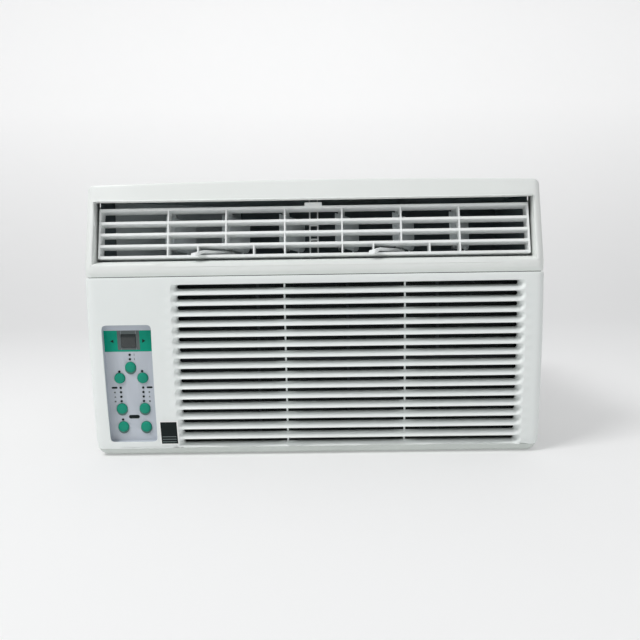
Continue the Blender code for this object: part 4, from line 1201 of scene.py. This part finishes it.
print("machinery pieces:", sum(len(names) for names in MACHINERY.values()))

# %% [markdown]
# Behind the left louvres the duct has a pale, curved cheek that steers the air. Its plan is
# drawn once and raised to the duct's height, which is all that such a plain wall needs.

# %% The duct's cheek
CHEEK_PLAN = ((-285.4, -178), (-262, -166), (-236, -148), (-205, -126), (-170, -102), (-138, -80),
              (-118, -63), (-285.4, -63))
CHEEK_Z, CHEEK_TALL = 251.2 * MM, 97.6 * MM
cheek_bm = bmesh.new()
cheek_plan = cheek_bm.faces.new([cheek_bm.verts.new((x * MM, y * MM, CHEEK_Z)) for x, y in CHEEK_PLAN])
thicken(cheek_bm, [cheek_plan], (0, 0, CHEEK_TALL))
round_edges(cheek_bm, sharp_edges(cheek_bm, 60), 1.0 * MM)
turn_out(cheek_bm)
print("cheek faces:", len(cheek_bm.faces))
to_piece(cheek_bm, "duct_cheek", "vane_grey", "casing", "foam_black", 40)

# %% [markdown]
# The stage is a plain studio: a pale sweep with no horizon, one broad light high at the left
# for the soft shadow on the right, and a dim fill. The camera stands a little above the
# middle of the front and a touch to its right.

# %% Stage
SWEEP_WIDE, SWEEP_LONG, SWEEP_FRONT = 6.0, 6.5, -2.0
FLOOR_END, SWEEP_R = 1.6, 1.5


def make_sweep():
    bm = bmesh.new()
    bmesh.ops.create_grid(bm, x_segments=2, y_segments=60, size=1.0)
    for vert in bm.verts:
        run = (vert.co.y + 1) / 2 * SWEEP_LONG + SWEEP_FRONT
        vert.co.x *= SWEEP_WIDE
        if run <= FLOOR_END:
            vert.co.y, vert.co.z = run, 0.0
        else:
            turn = min((run - FLOOR_END) / SWEEP_R, pi / 2)
            over = max(run - FLOOR_END - SWEEP_R * pi / 2, 0.0)
            vert.co.y = FLOOR_END + SWEEP_R * sin(turn)
            vert.co.z = SWEEP_R * (1 - cos(turn)) + over
    bmesh.ops.recalc_face_normals(bm, faces=bm.faces)
    mesh = bpy.data.meshes.new("sweep")
    bm.to_mesh(mesh)
    bm.free()
    mesh.shade_smooth()
    return new_object("sweep", mesh)


sweep = make_sweep()

# the paper glows a little more towards its top, so that the backdrop stays as pale as the floor
GLOW_TOP = 1.2
GLOW_LOW, GLOW_HIGH = (0.22, 0.22, 0.22), (0.46, 0.46, 0.46)
paper, paper_tree, paper_shader = principled("sweep_paper")
paper_place = paper_tree.nodes.new("ShaderNodeTexCoord").outputs["Object"]
paper_noise = noise(paper_tree, 3.0, 2.0, paper_place)
paper_tone = colour_mix(paper_tree, paper_noise.outputs["Fac"], (0.70, 0.70, 0.70), (0.71, 0.71, 0.71))
paper_tree.links.new(paper_tone, paper_shader.inputs["Base Color"])
paper_shader.inputs["Roughness"].default_value = 0.9
paper_shader.inputs["Emission Strength"].default_value = 1.0
height = paper_tree.nodes.new("ShaderNodeSeparateXYZ")
paper_tree.links.new(paper_place, height.inputs["Vector"])
glow = mapped(paper_tree, height.outputs["Z"], 0.0, GLOW_TOP, 0.0, 1.0)
paper_tree.links.new(colour_mix(paper_tree, glow, GLOW_LOW, GLOW_HIGH), paper_shader.inputs["Emission Color"])
sweep.data.materials.append(paper)
sweep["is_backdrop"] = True


def area_light(name, place, aim, size, power):
    data = bpy.data.lights.new(name, "AREA")
    data.shape = "RECTANGLE"
    data.size, data.size_y = size
    data.energy = power
    lamp = new_object(name, data)
    lamp.location = place
    lamp.rotation_euler = (Vector(aim) - Vector(place)).to_track_quat("-Z", "Y").to_euler()


area_light("key_light", (-1.6, -1.7, 2.9), (0.0, -0.2, 0.15), (1.1, 1.1), 62)
area_light("top_light", (0.2, 0.2, 2.6), (0.0, 0.0, 0.2), (3.0, 3.0), 17)
area_light("front_fill", (1.2, -3.0, 1.4), (0.0, -0.2, 0.2), (2.4, 1.6), 5)
world = bpy.data.worlds.new("studio")
world.use_nodes = True
world.node_tree.nodes["Background"].inputs["Color"].default_value = (0.97, 0.985, 1.0, 1)
world.node_tree.nodes["Background"].inputs["Strength"].default_value = 0.34
bpy.context.scene.world = world
bpy.context.scene.view_settings.view_transform = "Standard"

print("lights:", len(bpy.data.lights))

# %% Camera
camera_data = bpy.data.cameras.new("camera")
camera_data.lens = 39.4
camera_data.sensor_width = 36.0
camera = new_object("camera", camera_data)
tilt, yaw, roll = radians(85.56), radians(0.66), radians(-0.88)
turn = Matrix.Rotation(yaw, 4, "Z") @ Matrix.Rotation(tilt, 4, "X") @ Matrix.Rotation(roll, 4, "Z")
camera.matrix_world = Matrix.Translation((0.0177, -1.1885, 0.2545)) @ turn
bpy.context.scene.camera = camera
print("camera at", [round(c, 3) for c in camera.matrix_world.translation])

# %% The bounds of the finished scene
low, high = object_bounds()
